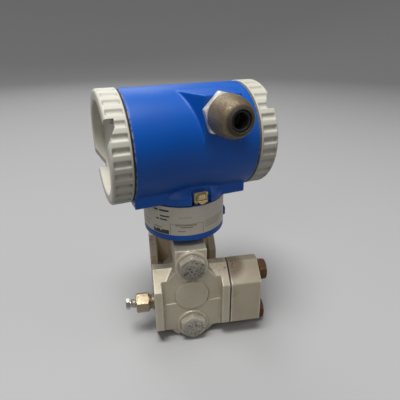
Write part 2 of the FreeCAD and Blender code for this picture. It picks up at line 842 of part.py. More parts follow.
def neck_seal():
    """The flat ring between the neck and the housing."""
    body = new_body("neck_seal")
    sketch = sketch_on(body, "XY_Plane", D.neck_top)
    circle(sketch, ZERO, ZERO, D.seal_out)
    circle(sketch, ZERO, ZERO, D.spigot_radius)
    pad(body, sketch, D.seal_thick)
    return node("neck_seal", body)


def electronics_housing():
    """The two-ended barrel with its collar, rail, conduit entries and rooms."""
    body = housing_piece("electronics_housing")
    sketch = sketch_on(body, "YZ_Plane")
    circle(sketch, ZERO, D.axis_z, D.barrel_radius)
    pad(body, sketch, D.barrel_half * 2, both=True)
    sketch = sketch_on(body, "YZ_Plane", -D.barrel_half)
    rectangle(sketch, -D.rail_half, D.rail_low, D.rail_half, D.axis_z)
    pad(body, sketch, D.barrel_half + D.rail_end)
    sketch = sketch_on(body, "XZ_Plane")
    polygon(sketch, [
        (ZERO, D.collar_low), (D.collar_radius, D.collar_low), (D.collar_radius, D.collar_knee),
        (D.collar_top_radius, D.collar_top), (ZERO, D.collar_top),
    ])
    turned(body, sketch, "V_Axis")
    # the conduit blocks: the front one flares towards the left, the rear one is lower
    entry_right = D.entry_left + D.entry_length
    for side, top in ((-1, D.entry_top), (1, D.rear_entry_top)):
        sketch = sketch_on(body, "XY_Plane", D.axis_z)
        polygon(sketch, [
            (D.entry_left, D.barrel_radius * side), (entry_right, D.barrel_radius * side),
            (entry_right, ZERO), (D.entry_left - D.entry_flare, ZERO),
        ])
        pad(body, sketch, top - D.axis_z)

    for end, side, wall in ((-D.barrel_half, -1, D.bulkhead_left), (D.barrel_half, 1, D.bulkhead_right)):
        sketch = sketch_on(body, "YZ_Plane", end)
        circle(sketch, ZERO, D.axis_z, D.thread_radius)
        pocket(body, sketch, D.thread_depth, back=side < 0)
        sketch = sketch_on(body, "YZ_Plane", end)
        circle(sketch, ZERO, D.axis_z, D.room_radius)
        pocket(body, sketch, (end - wall) * side, back=side < 0)
    for face, height in ((D.barrel_radius, D.entry_z), (-D.barrel_radius, D.rear_entry_z)):
        sketch = sketch_on(body, "XZ_Plane", face)
        circle(sketch, D.entry_x, height, D.entry_radius)
        pocket(body, sketch, D.barrel_radius, back=face.value < 0)
    sketch = sketch_on(body, "XY_Plane", D.collar_low)
    circle(sketch, ZERO, ZERO, D.socket_radius)
    pocket(body, sketch, D.socket_top - D.collar_low, back=True)
    sketch = sketch_on(body, "XY_Plane", D.collar_low)
    circle(sketch, D.wire_x, ZERO, D.wire_radius)
    pocket(body, sketch, D.axis_z - D.collar_low, back=True)
    sketch = sketch_on(body, "XZ_Plane", D.barrel_radius)
    rectangle(sketch, D.slot_left, D.rail_low - D.lid_thick, D.slot_right, D.slot_top)
    pocket(body, sketch, D.barrel_radius - D.slot_back)
    return node("electronics_housing", body)


def lid(name, side, notch):
    """A screwed cover: side is -1 for the electronics end and 1 for the terminal end."""
    body = housing_piece(name)
    seat = D.barrel_half + D.lid_gap
    end = seat + D.lid_thick
    floor = end - D.lid_recess_depth
    inner = floor - D.lid_floor
    tip = seat - D.lid_spigot_length
    profile = [
        (seat, D.lid_spigot), (seat, D.lid_radius), (end - D.lid_chamfer, D.lid_radius),
        (end, D.lid_radius - D.lid_chamfer), (end, D.lid_recess + D.lid_recess_chamfer),
        (end - D.lid_recess_chamfer, D.lid_recess), (floor, D.lid_recess), (floor, ZERO),
        (inner, ZERO), (inner, D.lid_spigot_bore), (tip, D.lid_spigot_bore), (tip, D.lid_spigot),
    ]
    sketch = sketch_on(body, "XZ_Plane", None, D.axis_z)
    polygon(sketch, [(x * side, r) for x, r in profile])
    turned(body, sketch)
    doc.recompute()

    # notches across the rim for a bar, square on one side and sloped on the other
    ledge = end - D.notch_depth
    sketch = sketch_on(body, "XY_Plane", D.axis_z, tilt=notch - QUARTER_TURN)
    polygon(sketch, [
        (end * side, D.notch_square * -side), (ledge * side, D.notch_square * -side),
        (ledge * side, D.notch_flat * side), (end * side, D.notch_ramp * side),
    ])
    ring_of(body, pocket(body, sketch, D.notch_outer, back=True), sketch, "H_Axis", D.notch_count)

    sketch = sketch_on(body, "YZ_Plane", (seat + D.flute_start) * side, D.axis_z, notch)
    circle(sketch, D.flute_centre, ZERO, D.flute_radius)
    flute = pocket(body, sketch, D.lid_thick - D.flute_start - D.flute_stop, back=side > 0)
    ring_of(body, flute, sketch, "N_Axis", D.flute_count)
    return node(name, body)


def lid_seal(name, side):
    """The dark ring between a cover and the barrel's end."""
    body = housing_piece(name)
    start = D.barrel_half + D.ring_seal_play
    sketch = sketch_on(body, "YZ_Plane", start * side, D.axis_z)
    circle(sketch, ZERO, ZERO, D.ring_seal_out)
    circle(sketch, ZERO, ZERO, D.ring_seal_in)
    pad(body, sketch, D.lid_gap - D.ring_seal_play * 2, back=side < 0)
    return node(name, body)


def electronics_module():
    """The potted electronics in the left room."""
    body = housing_piece("electronics_module")
    sketch = sketch_on(body, "YZ_Plane", D.bulkhead_left)
    circle(sketch, ZERO, D.axis_z, D.module_radius)
    pad(body, sketch, D.bulkhead_left - D.module_end, back=True)
    sketch = sketch_on(body, "YZ_Plane", D.module_end)
    circle(sketch, ZERO, D.axis_z, D.module_step_radius)
    pad(body, sketch, D.module_end - D.module_step_end, back=True)
    return node("electronics_module", body)


def terminal_block():
    """The stepped terminal block on the bulkhead of the right room."""
    body = housing_piece("terminal_block")
    sketch = sketch_on(body, "YZ_Plane", D.bulkhead_right)
    rectangle(sketch, -D.terminal_half, D.terminal_low, D.terminal_half, D.terminal_high)
    pad(body, sketch, D.terminal_step)
    sketch = sketch_on(body, "YZ_Plane", D.bulkhead_right)
    rectangle(sketch, -D.terminal_half, D.terminal_step_low, D.terminal_half, D.terminal_high)
    pad(body, sketch, D.terminal_thick)
    return node("terminal_block", body)


def terminal_screw(place):
    """One terminal screw's head."""
    body = housing_piece("terminal_screw")
    sketch = sketch_on(body, "YZ_Plane", D.bulkhead_right + D.terminal_thick)
    circle(sketch, D.terminal_pitch * place, (D.terminal_step_low + D.terminal_high) / 2, D.terminal_screw_radius)
    pad(body, sketch, D.terminal_screw_tall)
    return body


def ground_clamp():
    """The saddle under the ground screw."""
    body = housing_piece("ground_clamp")
    sketch = sketch_on(body, "XZ_Plane", D.slot_back)
    rectangle(sketch, D.clamp_left, D.clamp_low, D.clamp_right, D.clamp_high)
    circle(sketch, (D.clamp_left + D.clamp_right) / 2, (D.clamp_low + D.clamp_high) / 2, D.clamp_hole)
    pad(body, sketch, D.clamp_thick)
    return node("ground_clamp", body)


def ground_screw():
    """The slotted ground screw."""
    body = housing_piece("ground_screw")
    across = (D.clamp_left + D.clamp_right) / 2
    up = (D.clamp_low + D.clamp_high) / 2
    face = D.slot_back + D.clamp_thick
    sketch = sketch_on(body, "XZ_Plane", face)
    circle(sketch, across, up, D.ground_head)
    pad(body, sketch, D.ground_tall)
    sketch = sketch_on(body, "XZ_Plane", face)
    circle(sketch, across, up, D.ground_shank)
    pad(body, sketch, D.clamp_thick, back=True)
    sketch = sketch_on(body, "XZ_Plane", face + D.ground_tall)
    rectangle(
        sketch, across - D.ground_head * 2, up - D.ground_slot / 2,
        across + D.ground_head * 2, up + D.ground_slot / 2,
    )
    pocket(body, sketch, D.ground_slot)
    return node("ground_screw", body)


def gland_body():
    """The gland's entry body with its thin hexagon."""
    body = housing_piece("gland_body")
    hex_end = D.barrel_radius + D.gland_hex
    sketch = sketch_on(body, "YZ_Plane", D.entry_x, D.entry_z)
    polygon(sketch, [
        (-D.gland_tail, D.gland_bore), (-D.gland_tail, D.gland_thread), (-hex_end, D.gland_thread),
        (-hex_end, D.gland_spigot), (-D.gland_spigot_end, D.gland_spigot), (-D.gland_spigot_end, D.gland_bore),
    ])
    turned(body, sketch)
    sketch = sketch_on(body, "XZ_Plane", D.barrel_radius)
    hexagon(sketch, D.entry_x, D.entry_z, D.gland_flat, pointed=True)
    circle(sketch, D.entry_x, D.entry_z, D.gland_bore)
    pad(body, sketch, D.gland_hex)
    sketch = sketch_on(body, "YZ_Plane", D.entry_x, D.entry_z)
    crown(body, sketch, -hex_end, -1, D.gland_flat, D.gland_chamfer)
    return node("gland_body", body)


def gland_nut():
    """The domed nut of the gland."""
    body = housing_piece("gland_nut")
    sketch = sketch_on(body, "YZ_Plane", D.entry_x, D.entry_z)
    polygon(sketch, [
        (-D.dome_start, D.dome_bore), (-D.dome_start, D.dome_base), (-D.dome_mid, D.dome_mid_radius),
        (-D.dome_far, D.dome_far_radius), (-D.dome_edge, D.dome_edge_radius), (-D.dome_end, D.dome_rim_radius),
        (-D.dome_end, D.dome_hole), (-D.dome_bore_end, D.dome_hole), (-D.dome_bore_end, D.dome_bore),
    ])
    turned(body, sketch)
    return node("gland_nut", body)


def gland_seal():
    """The rubber ring in the nut's mouth."""
    body = housing_piece("gland_seal")
    sketch = sketch_on(body, "XZ_Plane", D.seal_ring_start)
    circle(sketch, D.entry_x, D.entry_z, D.seal_ring_out)
    circle(sketch, D.entry_x, D.entry_z, D.seal_ring_in)
    pad(body, sketch, D.seal_ring_end - D.seal_ring_start)
    return node("gland_seal", body)


def conduit_plug():
    """The flush socket plug in the rear conduit entry."""
    body = housing_piece("conduit_plug")
    sketch = sketch_on(body, "XZ_Plane", -D.barrel_radius)
    circle(sketch, D.entry_x, D.rear_entry_z, D.gland_thread)
    pad(body, sketch, D.gland_screw)
    sketch = sketch_on(body, "XZ_Plane", -D.barrel_radius)
    hexagon(sketch, D.entry_x, D.rear_entry_z, D.stopper_key, pointed=True)
    pocket(body, sketch, D.stopper_key_depth, back=True)
    return node("conduit_plug", body)


def process_body():
    """Everything that stays with the process body."""
    process_cover("front_process_cover", 1)
    process_cover("rear_process_cover", -1)
    sensor_core()
    cover_gasket("front_cover_gasket", 1)
    cover_gasket("rear_cover_gasket", -1)
    group("isolating_diaphragms", [membrane(1), membrane(-1)])
    rises = (D.bolt_rise, -D.bolt_rise)
    group("cover_bolts", [cover_bolt(rise) for rise in rises])
    group("cover_nuts", [cover_nut(rise) for rise in rises])
    process_connector()
    connector_gasket()
    rises = (D.screw_gap / 2, -D.screw_gap / 2)
    group("connector_bolts", [connector_bolt(rise) for rise in rises])
    group("connector_washers", [connector_washer(rise) for rise in rises])
    vent_body()
    vent_ball()
    vent_screw()
    rear_vent_plug()
    neck()
    nameplate()
    neck_seal()


def housing_body():
    """Everything that turns with the housing."""
    electronics_housing()
    lid("electronics_cover", -1, D.left_notch)
    lid("terminal_cover", 1, D.right_notch)
    lid_seal("electronics_cover_seal", -1)
    lid_seal("terminal_cover_seal", 1)
    electronics_module()
    terminal_block()
    group("terminal_screws", [terminal_screw(place) for place in (-1, 0, 1)])
    ground_clamp()
    ground_screw()
    gland_body()
    gland_nut()
    gland_seal()
    conduit_plug()


def write_out():
    """Check every object and write one file for each node."""
    doc.recompute()
    for item in doc.Objects:
        faults = [state for state in item.State if state in ("Invalid", "Error")]
        if faults:
            raise RuntimeError("%s is %s" % (item.Label, faults))
    os.makedirs("parts", exist_ok=True)
    for name, item in NODES.items():
        shape = item.Shape
        if shape.isNull() or not shape.isValid():
            raise RuntimeError("%s has no valid shape" % name)
        shape.exportStep("parts/%s.step" % name)
        box = shape.BoundBox
        print("%-24s %9.0f mm3 %2d solids" % (name, shape.Volume, len(shape.Solids)),
              "x %.1f %.1f y %.1f %.1f z %.1f %.1f" % (box.XMin, box.XMax, box.YMin, box.YMax, box.ZMin, box.ZMax))


process_body()
housing_body()
write_out()
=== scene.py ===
"""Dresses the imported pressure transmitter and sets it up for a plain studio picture.

Lengths are in metres in the part's own frame, unless a docstring says millimetres: +Z is up, the process
covers face along Y, and the process connector sits on the +X side. The housing is turned about the neck,
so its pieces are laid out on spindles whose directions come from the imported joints.
"""

import json
import logging
import math
from dataclasses import dataclass, replace
from enum import Enum
from typing import Callable, Sequence

import bmesh
import bpy
from mathutils import Matrix, Vector


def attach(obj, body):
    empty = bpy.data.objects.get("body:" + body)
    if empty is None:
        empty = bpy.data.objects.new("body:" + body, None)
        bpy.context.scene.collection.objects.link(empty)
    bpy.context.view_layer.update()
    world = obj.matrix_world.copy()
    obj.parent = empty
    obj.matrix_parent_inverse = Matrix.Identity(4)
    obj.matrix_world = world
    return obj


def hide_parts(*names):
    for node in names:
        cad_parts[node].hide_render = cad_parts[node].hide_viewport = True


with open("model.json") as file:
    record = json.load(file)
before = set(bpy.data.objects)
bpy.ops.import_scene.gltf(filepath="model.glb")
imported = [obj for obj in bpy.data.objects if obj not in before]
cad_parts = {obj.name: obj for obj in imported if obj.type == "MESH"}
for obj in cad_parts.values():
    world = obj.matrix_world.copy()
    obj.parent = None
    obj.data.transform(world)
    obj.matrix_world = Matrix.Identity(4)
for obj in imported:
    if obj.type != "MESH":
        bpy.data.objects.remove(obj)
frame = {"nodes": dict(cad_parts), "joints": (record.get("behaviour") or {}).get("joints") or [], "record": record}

LOG = logging.getLogger("transmitter")
MM = 0.001
JOINTS = {joint["name"]: joint for joint in frame["joints"]}
Colour = tuple[float, float, float]
Place = tuple[float, float, float]
Pair = tuple[float, float]
Face = Sequence[int]
Shape = Callable[[float, float, float], float]
Socket = bpy.types.NodeSocket
Piece = bpy.types.Object


def srgb(red: int, green: int, blue: int) -> Colour:
    """A linear colour from its 8 bit sRGB values.

    Args:
        red: Red, 0 to 255.
        green: Green, 0 to 255.
        blue: Blue, 0 to 255.

    Returns:
        The linear red, green and blue.
    """
    def linear(value: int) -> float:
        """One channel in linear light."""
        share = value / 255.0
        return share / 12.92 if share <= 0.04045 else ((share + 0.055) / 1.055) ** 2.4

    return linear(red), linear(green), linear(blue)


@dataclass(frozen=True)
class Pattern:
    """A cloudy pattern: the width of one patch, how many finer octaves it has and how strong they are.

    Attributes:
        warp: How far the patches are drawn out of shape.
        limits: The noise that becomes 0 and the noise that becomes 1, or None for the plain noise.
    """

    size: float
    detail: float
    rough: float
    warp: float = 0.0
    limits: Pair | None = None


@dataclass(frozen=True)
class Patch:
    """A soft round place where a finish is dirtier, with its middle and radius in millimetres.

    Attributes:
        share: How much of the patch shows.
        solid: The least that shows between its broken spots.
        core: The share of the radius within which it is full.
    """

    place: Place
    radius: float
    share: float
    solid: float = 0.0
    core: float = 0.35


@dataclass(frozen=True)
class Rim:
    """An edge that is worn bare, between two distances along a direction."""

    way: Vector
    limits: Pair
    bare: Colour


class ShaderWriter:
    """Writes the node tree of one material, laid out on the object's own coordinates."""

    CORNER_SAMPLES = 6
    BEVEL_SAMPLES = 4
    EDGE_LIMITS = (0.45, 0.95)
    # The mix node has sockets of the same names for each kind of value, so the colour ones go by number
    MIX_SHARE, MIX_FIRST, MIX_SECOND, MIX_RESULT = 0, 6, 7, 2

    def __init__(self, name: str) -> None:
        """Start a material that holds one principled shader.

        Args:
            name: The material's name.
        """
        self.material = bpy.data.materials.new(name)
        self.material.use_nodes = True
        self.tree = self.material.node_tree
        self.shader = self.tree.nodes["Principled BSDF"]
        self.place = self.add("ShaderNodeTexCoord").outputs["Object"]

    def add(
        self, kind: str, inputs: dict[str | int, object] | None = None, **settings: object,
    ) -> bpy.types.Node:
        """Add a node.

        Args:
            kind: The node's type.
            inputs: What its inputs hold, by their names or numbers.
            settings: Its plain properties.

        Returns:
            The new node.
        """
        node = self.tree.nodes.new(kind)
        for key, value in settings.items():
            setattr(node, key, value)
        for key, value in (inputs or {}).items():
            self.feed(node.inputs[key], value)
        return node

    def feed(self, socket: Socket, value: object) -> None:
        """Link a socket to a node's output, or set its value.

        Args:
            socket: The input to fill.
            value: An output socket, a number or a colour.
        """
        if isinstance(value, bpy.types.NodeSocket):
            self.tree.links.new(value, socket)
        elif isinstance(value, tuple) and socket.type == "RGBA":
            socket.default_value = (*value, 1.0)
        else:
            socket.default_value = value

    def set(self, name: str, value: object) -> None:
        """Fill one input of the principled shader."""
        self.feed(self.shader.inputs[name], value)

    def noise(self, pattern: Pattern) -> Socket:
        """Cloudy noise.

        Args:
            pattern: Its size and character.

        Returns:
            The noise, from 0 to 1, stretched where the pattern has limits.
        """
        node = self.add("ShaderNodeTexNoise", {
            "Vector": self.place, "Scale": 1.0 / pattern.size, "Detail": pattern.detail,
            "Roughness": pattern.rough, "Distortion": pattern.warp,
        })
        cloud = node.outputs["Fac"]
        return self.band(cloud, pattern.limits) if pattern.limits else cloud

    def band(self, value: Socket, limits: Pair) -> Socket:
        """Stretch a value so that the lower limit becomes 0 and the upper one 1."""
        inputs = {"Value": value, "From Min": limits[0], "From Max": limits[1]}
        return self.add("ShaderNodeMapRange", inputs, interpolation_type="SMOOTHSTEP").outputs["Result"]

    def maths(self, operation: str, first: object, second: object) -> Socket:
        """One sum on two values, kept between 0 and 1."""
        node = self.add("ShaderNodeMath", {0: first, 1: second}, operation=operation, use_clamp=True)
        return node.outputs[0]

    def times(self, first: object, second: object) -> Socket:
        """The product of two values."""
        return self.maths("MULTIPLY", first, second)

    def plus(self, first: object, second: object) -> Socket:
        """Two values together, up to 1."""
        return self.maths("ADD", first, second)

    def most(self, first: object, second: object) -> Socket:
        """The greater of two values."""
        return self.maths("MAXIMUM", first, second)

    def without(self, value: object) -> Socket:
        """What a value leaves of 1."""
        return self.maths("SUBTRACT", 1.0, value)

    def blend(self, share: object, first: object, second: object) -> Socket:
        """Mix two colours by a share of the second."""
        inputs = {self.MIX_SHARE: share, self.MIX_FIRST: first, self.MIX_SECOND: second}
        return self.add("ShaderNodeMix", inputs, data_type="RGBA").outputs[self.MIX_RESULT]

    def lerp(self, share: object, first: float, second: float) -> Socket:
        """A number between two limits by a share."""
        inputs = {"Value": share, "To Min": first, "To Max": second}
        return self.add("ShaderNodeMapRange", inputs).outputs["Result"]

    def crevice(self, reach: float, limits: Pair, inside: bool = False) -> Socket:
        """How far a point lies in a corner or a groove.

        Args:
            reach: How far the walls may stand away.
            limits: The openness that counts as fully enclosed, and that which counts as free.
            inside: Whether to look into the piece, which finds its outer edges.

        Returns:
            1 in a corner and 0 on open faces.
        """
        kind = "ShaderNodeAmbientOcclusion"
        node = self.add(kind, {"Distance": reach}, samples=self.CORNER_SAMPLES, inside=inside)
        return self.without(self.band(node.outputs["AO"], limits))

    def edges(self, reach: float) -> Socket:
        """1 along outer edges and 0 on faces, where the piece itself lies behind on all sides."""
        return self.crevice(reach, self.EDGE_LIMITS, inside=True)

    def facing_up(self, limits: Pair) -> Socket:
        """1 on faces that look upwards: where dust and water lie on castings, and where enamel gets less painted
        shade.
        """
        split = self.add("ShaderNodeSeparateXYZ", {0: self.add("ShaderNodeTexCoord").outputs["Normal"]})
        return self.band(split.outputs["Z"], limits)

    def near(self, patch: Patch) -> Socket:
        """How far a point lies in a patch.

        Args:
            patch: The patch.

        Returns:
            1 in the patch's core and 0 beyond its radius.
        """
        middle = tuple(MM * value for value in patch.place)
        radius = MM * patch.radius
        node = self.add("ShaderNodeVectorMath", {0: self.place, 1: middle}, operation="DISTANCE")
        return self.without(self.band(node.outputs["Value"], (patch.core * radius, radius)))

    def beyond(self, rim: Rim) -> Socket:
        """0 before an edge and 1 on it."""
        node = self.add("ShaderNodeVectorMath", {0: self.place, 1: tuple(rim.way)}, operation="DOT_PRODUCT")
        return self.band(node.outputs["Value"], rim.limits)

    def dulled(self, tone: Socket, around: float, span: Pair, dirt_and_shade: Socket, dulling: float) -> None:
        """Set the roughness.

        Args:
            tone: The pattern that it follows on clean places.
            around: The roughness of clean places.
            span: How far the pattern takes it down and up.
            dirt_and_shade: Where the soiling lies, and for enamel also its painted shade.
            dulling: How much rougher those places are.
        """
        clean = self.lerp(tone, around + span[0], around + span[1])
        self.set("Roughness", self.plus(clean, self.lerp(dirt_and_shade, 0.0, dulling)))

    def relief(self, first: Socket, second: Socket, share: float) -> Socket:
        """Two reliefs in one, by the share of the first."""
        return self.plus(self.times(first, share), self.times(second, 1.0 - share))

    def surface(self, height: Socket, depth: float, rounding: float, strength: float) -> None:
        """Give the shader a fine relief over softly rounded edges.

        Args:
            height: The relief, from 0 to 1.
            depth: How deep the relief is.
            rounding: The radius of the softened edges.
            strength: How much of the relief shows.
        """
        soft = self.add("ShaderNodeBevel", {"Radius": rounding}, samples=self.BEVEL_SAMPLES)
        bump = self.add("ShaderNodeBump", {
            "Strength": strength, "Distance": depth, "Height": height, "Normal": soft.outputs["Normal"],
        })
        self.set("Normal", bump.outputs["Normal"])


@dataclass(frozen=True)
class Finish:
    """What every finish has: its name, the record's slot, and its softened edges."""

    name: str
    slot: str
    rounding: float = 0.3 * MM

    def material(self) -> bpy.types.Material:
        """The finish's material, made once and then shared.

        Returns:
            The material.
        """
        known = bpy.data.materials.get(self.name)
        if known is not None:
            return known
        writer = ShaderWriter(self.name)
        self.write(writer)
        return writer.material

    def write(self, shader: ShaderWriter) -> None:
        """Fill in the shader."""
        raise NotImplementedError


@dataclass(frozen=True, kw_only=True)
class Enamel(Finish):
    """Stoved paint with a fine orange peel, rubbed edges, scuffs, and soiling in its corners that is also painted
    shade, darkest on faces that look down.
    """

    CLOUD = Pattern(60 * MM, 2.0, 0.5, limits=(0.3, 0.7))
    BROKEN = Pattern(3 * MM, 5.0, 0.7, limits=(0.42, 0.6))
    STREAKS = Pattern(2.2 * MM, 6.0, 0.8, 2.0, (0.5, 0.66))
    SHADE_AND_DIRT_CLOUD = Pattern(5 * MM, 5.0, 0.7, limits=(0.2, 0.6))
    SPECKS = Pattern(1.4 * MM, 3.0, 0.6, limits=(0.69, 0.75))
    PEEL = Pattern(0.7 * MM, 2.0, 0.55)
    FINE_PEEL = Pattern(0.28 * MM, 1.0, 0.5)
    PEEL_SHARE = 0.7
    PEEL_STRENGTH = 0.6
    RUB_REACH = 0.8 * MM
    SIDE_LIMITS = (-0.5, 0.5)
    TOP_SHADE_AND_DIRT = 0.4
    CORNER_LIMITS = (0.5, 1.0)
    ROUGH_SPAN = (-0.05, 0.07)
    DULLING = 0.3

    base: Colour
    deep: Colour
    rubbed: Colour
    dirt_and_shade: Colour
    scuff: Colour
    grain_depth: float
    gloss: float
    shade_and_dirt_reach: float
    shade_and_dirt_share: float
    speck_share: float
    specular: float = 0.5
    edge_share: float = 0.5
    patches: tuple[Patch, ...] = ()
    rims: tuple[Rim, ...] = ()

    def write(self, shader: ShaderWriter) -> None:
        """Paint in two close tones, worn at its edges, then scuffed, and darkened in its corners by soiling and
        painted shade.

        Args:
            shader: The material's writer.
        """
        peel = shader.noise(self.PEEL)
        broken = shader.noise(self.BROKEN)
        paint = shader.blend(shader.noise(self.CLOUD), self.deep, self.base)
        edge_mix = shader.times(shader.edges(self.RUB_REACH), broken)
        paint = shader.blend(shader.times(edge_mix, self.edge_share), paint, self.rubbed)
        for rim in self.rims:
            paint = shader.blend(shader.times(shader.beyond(rim), broken), paint, rim.bare)
        streak = shader.noise(self.STREAKS)
        for patch in self.patches:
            here = shader.times(shader.near(patch), streak)
            paint = shader.blend(shader.times(here, patch.share), paint, self.scuff)
        # Painted shade: corners are darkened towards the soiling colour, most on faces that look down; real specks
        # of soiling are mixed in.
        below = shader.lerp(shader.facing_up(self.SIDE_LIMITS), 1.0, self.TOP_SHADE_AND_DIRT)
        corner = shader.times(shader.crevice(self.shade_and_dirt_reach, self.CORNER_LIMITS), below)
        shade_and_dirt_mask = shader.times(corner, shader.times(shader.noise(self.SHADE_AND_DIRT_CLOUD), self.shade_and_dirt_share))
        shade_and_dirt_mask = shader.most(shade_and_dirt_mask, shader.times(shader.noise(self.SPECKS), self.speck_share))
        shader.set("Base Color", shader.blend(shade_and_dirt_mask, paint, self.dirt_and_shade))
        shader.set("Specular IOR Level", self.specular)
        shader.dulled(peel, self.gloss, self.ROUGH_SPAN, shade_and_dirt_mask, self.DULLING)
        relief = shader.relief(peel, shader.noise(self.FINE_PEEL), self.PEEL_SHARE)
        shader.surface(relief, self.grain_depth, self.rounding, self.PEEL_STRENGTH)


@dataclass(frozen=True, kw_only=True)
class CastMetal(Finish):
    """Blasted or rough metal: a fine skin, brown stains in the corners and on top, and rubbed edges lightened
    further as a painted highlight.
    """

    CLOUD = Pattern(25 * MM, 3.0, 0.5)
    CLOUD_LIMITS = (0.3, 0.7)
    GRAIN = Pattern(0.35 * MM, 2.0, 0.6)
    SPOTS = Pattern(1.2 * MM, 4.0, 0.7, limits=(0.48, 0.6))
    BROKEN = Pattern(4 * MM, 4.0, 0.7, limits=(0.3, 0.6))
    LEAST_RUB = 0.5
    BLOTCH = Pattern(6 * MM, 6.0, 0.75, 0.8)
    CORNER_BLOTCH = (0.35, 0.62)
    TOP_BLOTCH = (0.45, 0.68)
    CRUST = Pattern(1.5 * MM, 5.0, 0.8, 0.4, (0.46, 0.62))
    CORNER_LIMITS = (0.35, 0.95)
    TOP_LIMITS = (0.5, 0.95)
    GRAIN_LIMITS = (0.35, 0.75)
    GRAIN_TINT = 0.12
    GRAIN_SHARE = 0.6
    GRAIN_STRENGTH = 0.6
    STAINED_METALLIC = 0.1
    ROUGH_SPAN = (-0.05, 0.05)
    DULLING = 0.35

    base: Colour
    shade: Colour
    stain: Colour
    edge_wear_and_highlight: Colour
    gloss: float
    speck_share: float
    metallic: float = 0.9
    grain: float = GRAIN.size
    grain_depth: float = 0.04 * MM
    edge_share: float = 0.7
    highlight_and_wear_reach: float = 0.8 * MM
    stain_reach: float = 2.2 * MM
    stain_share: float = 0.3
    top_stain: float = 0.05
    speck_size: float = SPOTS.size
    patches: tuple[Patch, ...] = ()

    def write(self, shader: ShaderWriter) -> None:
        """Metal in two close tones with stains, specks, and edges lightened as wear and as a painted highlight.

        Args:
            shader: The material's writer.
        """
        cloud = shader.noise(self.CLOUD)
        grain = shader.noise(replace(self.GRAIN, size=self.grain))
        metal = shader.blend(shader.band(cloud, self.CLOUD_LIMITS), self.shade, self.base)
        tint = shader.times(shader.band(grain, self.GRAIN_LIMITS), self.GRAIN_TINT)
        metal = shader.blend(tint, metal, self.shade)
        # Painted highlight: outer edges are lightened towards a near-white colour, as wear and as a painted
        # highlight.
        broken = shader.lerp(shader.noise(self.BROKEN), self.LEAST_RUB, 1.0)
        edge_mix = shader.times(shader.edges(self.highlight_and_wear_reach), broken)
        metal = shader.blend(shader.times(edge_mix, self.edge_share), metal, self.edge_wear_and_highlight)
        blotch = shader.noise(self.BLOTCH)
        corner = shader.crevice(self.stain_reach, self.CORNER_LIMITS)
        corner = shader.times(corner, shader.band(blotch, self.CORNER_BLOTCH))
        stained = shader.times(corner, self.stain_share)
        top = shader.times(shader.facing_up(self.TOP_LIMITS), shader.band(blotch, self.TOP_BLOTCH))
        stained = shader.most(stained, shader.times(top, self.top_stain))
        spots = shader.noise(replace(self.SPOTS, size=self.speck_size))
        stained = shader.most(stained, shader.times(spots, self.speck_share))
        crust = shader.noise(self.CRUST)
        for patch in self.patches:
            here = shader.times(shader.near(patch), shader.most(crust, patch.solid))
            stained = shader.most(stained, shader.times(here, patch.share))
        shader.set("Base Color", shader.blend(stained, metal, self.stain))
        shader.set("Metallic", shader.lerp(stained, self.metallic, self.STAINED_METALLIC * self.metallic))
        shader.dulled(cloud, self.gloss, self.ROUGH_SPAN, stained, self.DULLING)
        relief = shader.relief(grain, spots, self.GRAIN_SHARE)
        shader.surface(relief, self.grain_depth, self.rounding, self.GRAIN_STRENGTH)


@dataclass(frozen=True, kw_only=True)
class Moulded(Finish):
    """Dull moulded plastic or rubber with a fine skin and a little dust."""

    DUST = Pattern(3 * MM, 5.0, 0.7, limits=(0.45, 0.75))
    SKIN = Pattern(0.3 * MM, 2.0, 0.5)
    SKIN_DEPTH = 0.04 * MM
    SKIN_STRENGTH = 0.5
    ROUGH_SPAN = (-0.08, 0.15)

    base: Colour
    gloss: float
    dust: Colour = (0.2, 0.19, 0.17)
    dust_share: float = 0.2

    def write(self, shader: ShaderWriter) -> None:
        """One colour with dust in patches.

        Args:
            shader: The material's writer.
        """
        patch = shader.noise(self.DUST)
        shader.set("Base Color", shader.blend(shader.times(patch, self.dust_share), self.base, self.dust))
        low, high = self.ROUGH_SPAN
        shader.set("Roughness", shader.lerp(patch, self.gloss + low, self.gloss + high))
        shader.surface(shader.noise(self.SKIN), self.SKIN_DEPTH, self.rounding, self.SKIN_STRENGTH)


def node_points(node: str) -> list[Vector]:
    """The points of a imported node's mesh."""
    return [vertex.co for vertex in frame["nodes"][node].data.vertices]


@dataclass(frozen=True)
class Spindle:
    """A straight axis and two cross directions, on which turned shapes are laid out."""

    origin: Vector
    along: Vector
    across: Vector
    up: Vector

    def at(self, along: float, radius: float, angle: float) -> Vector:
        """The point at a distance along the axis, a radius and an angle in radians."""
        return self.flat(along, radius * math.cos(angle), radius * math.sin(angle))

    def flat(self, along: float, across: float, up: float) -> Vector:
        """The point at three straight distances from the origin."""
        return self.origin + along * self.along + across * self.across + up * self.up

    def reach(self, node: str, way: Vector | None = None) -> Pair:
        """How far a node reaches.

        Args:
            node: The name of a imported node.
            way: The direction, or None for that of the axis.

        Returns:
            The nearest and the farthest distance from the origin.
        """
        spots = [(point - self.origin).dot(way or self.along) for point in node_points(node)]
        return min(spots), max(spots)


def joint_vector(name: str, key: str) -> Vector:
    """A joint's axis or place as a vector."""
    return Vector(JOINTS[name][key])


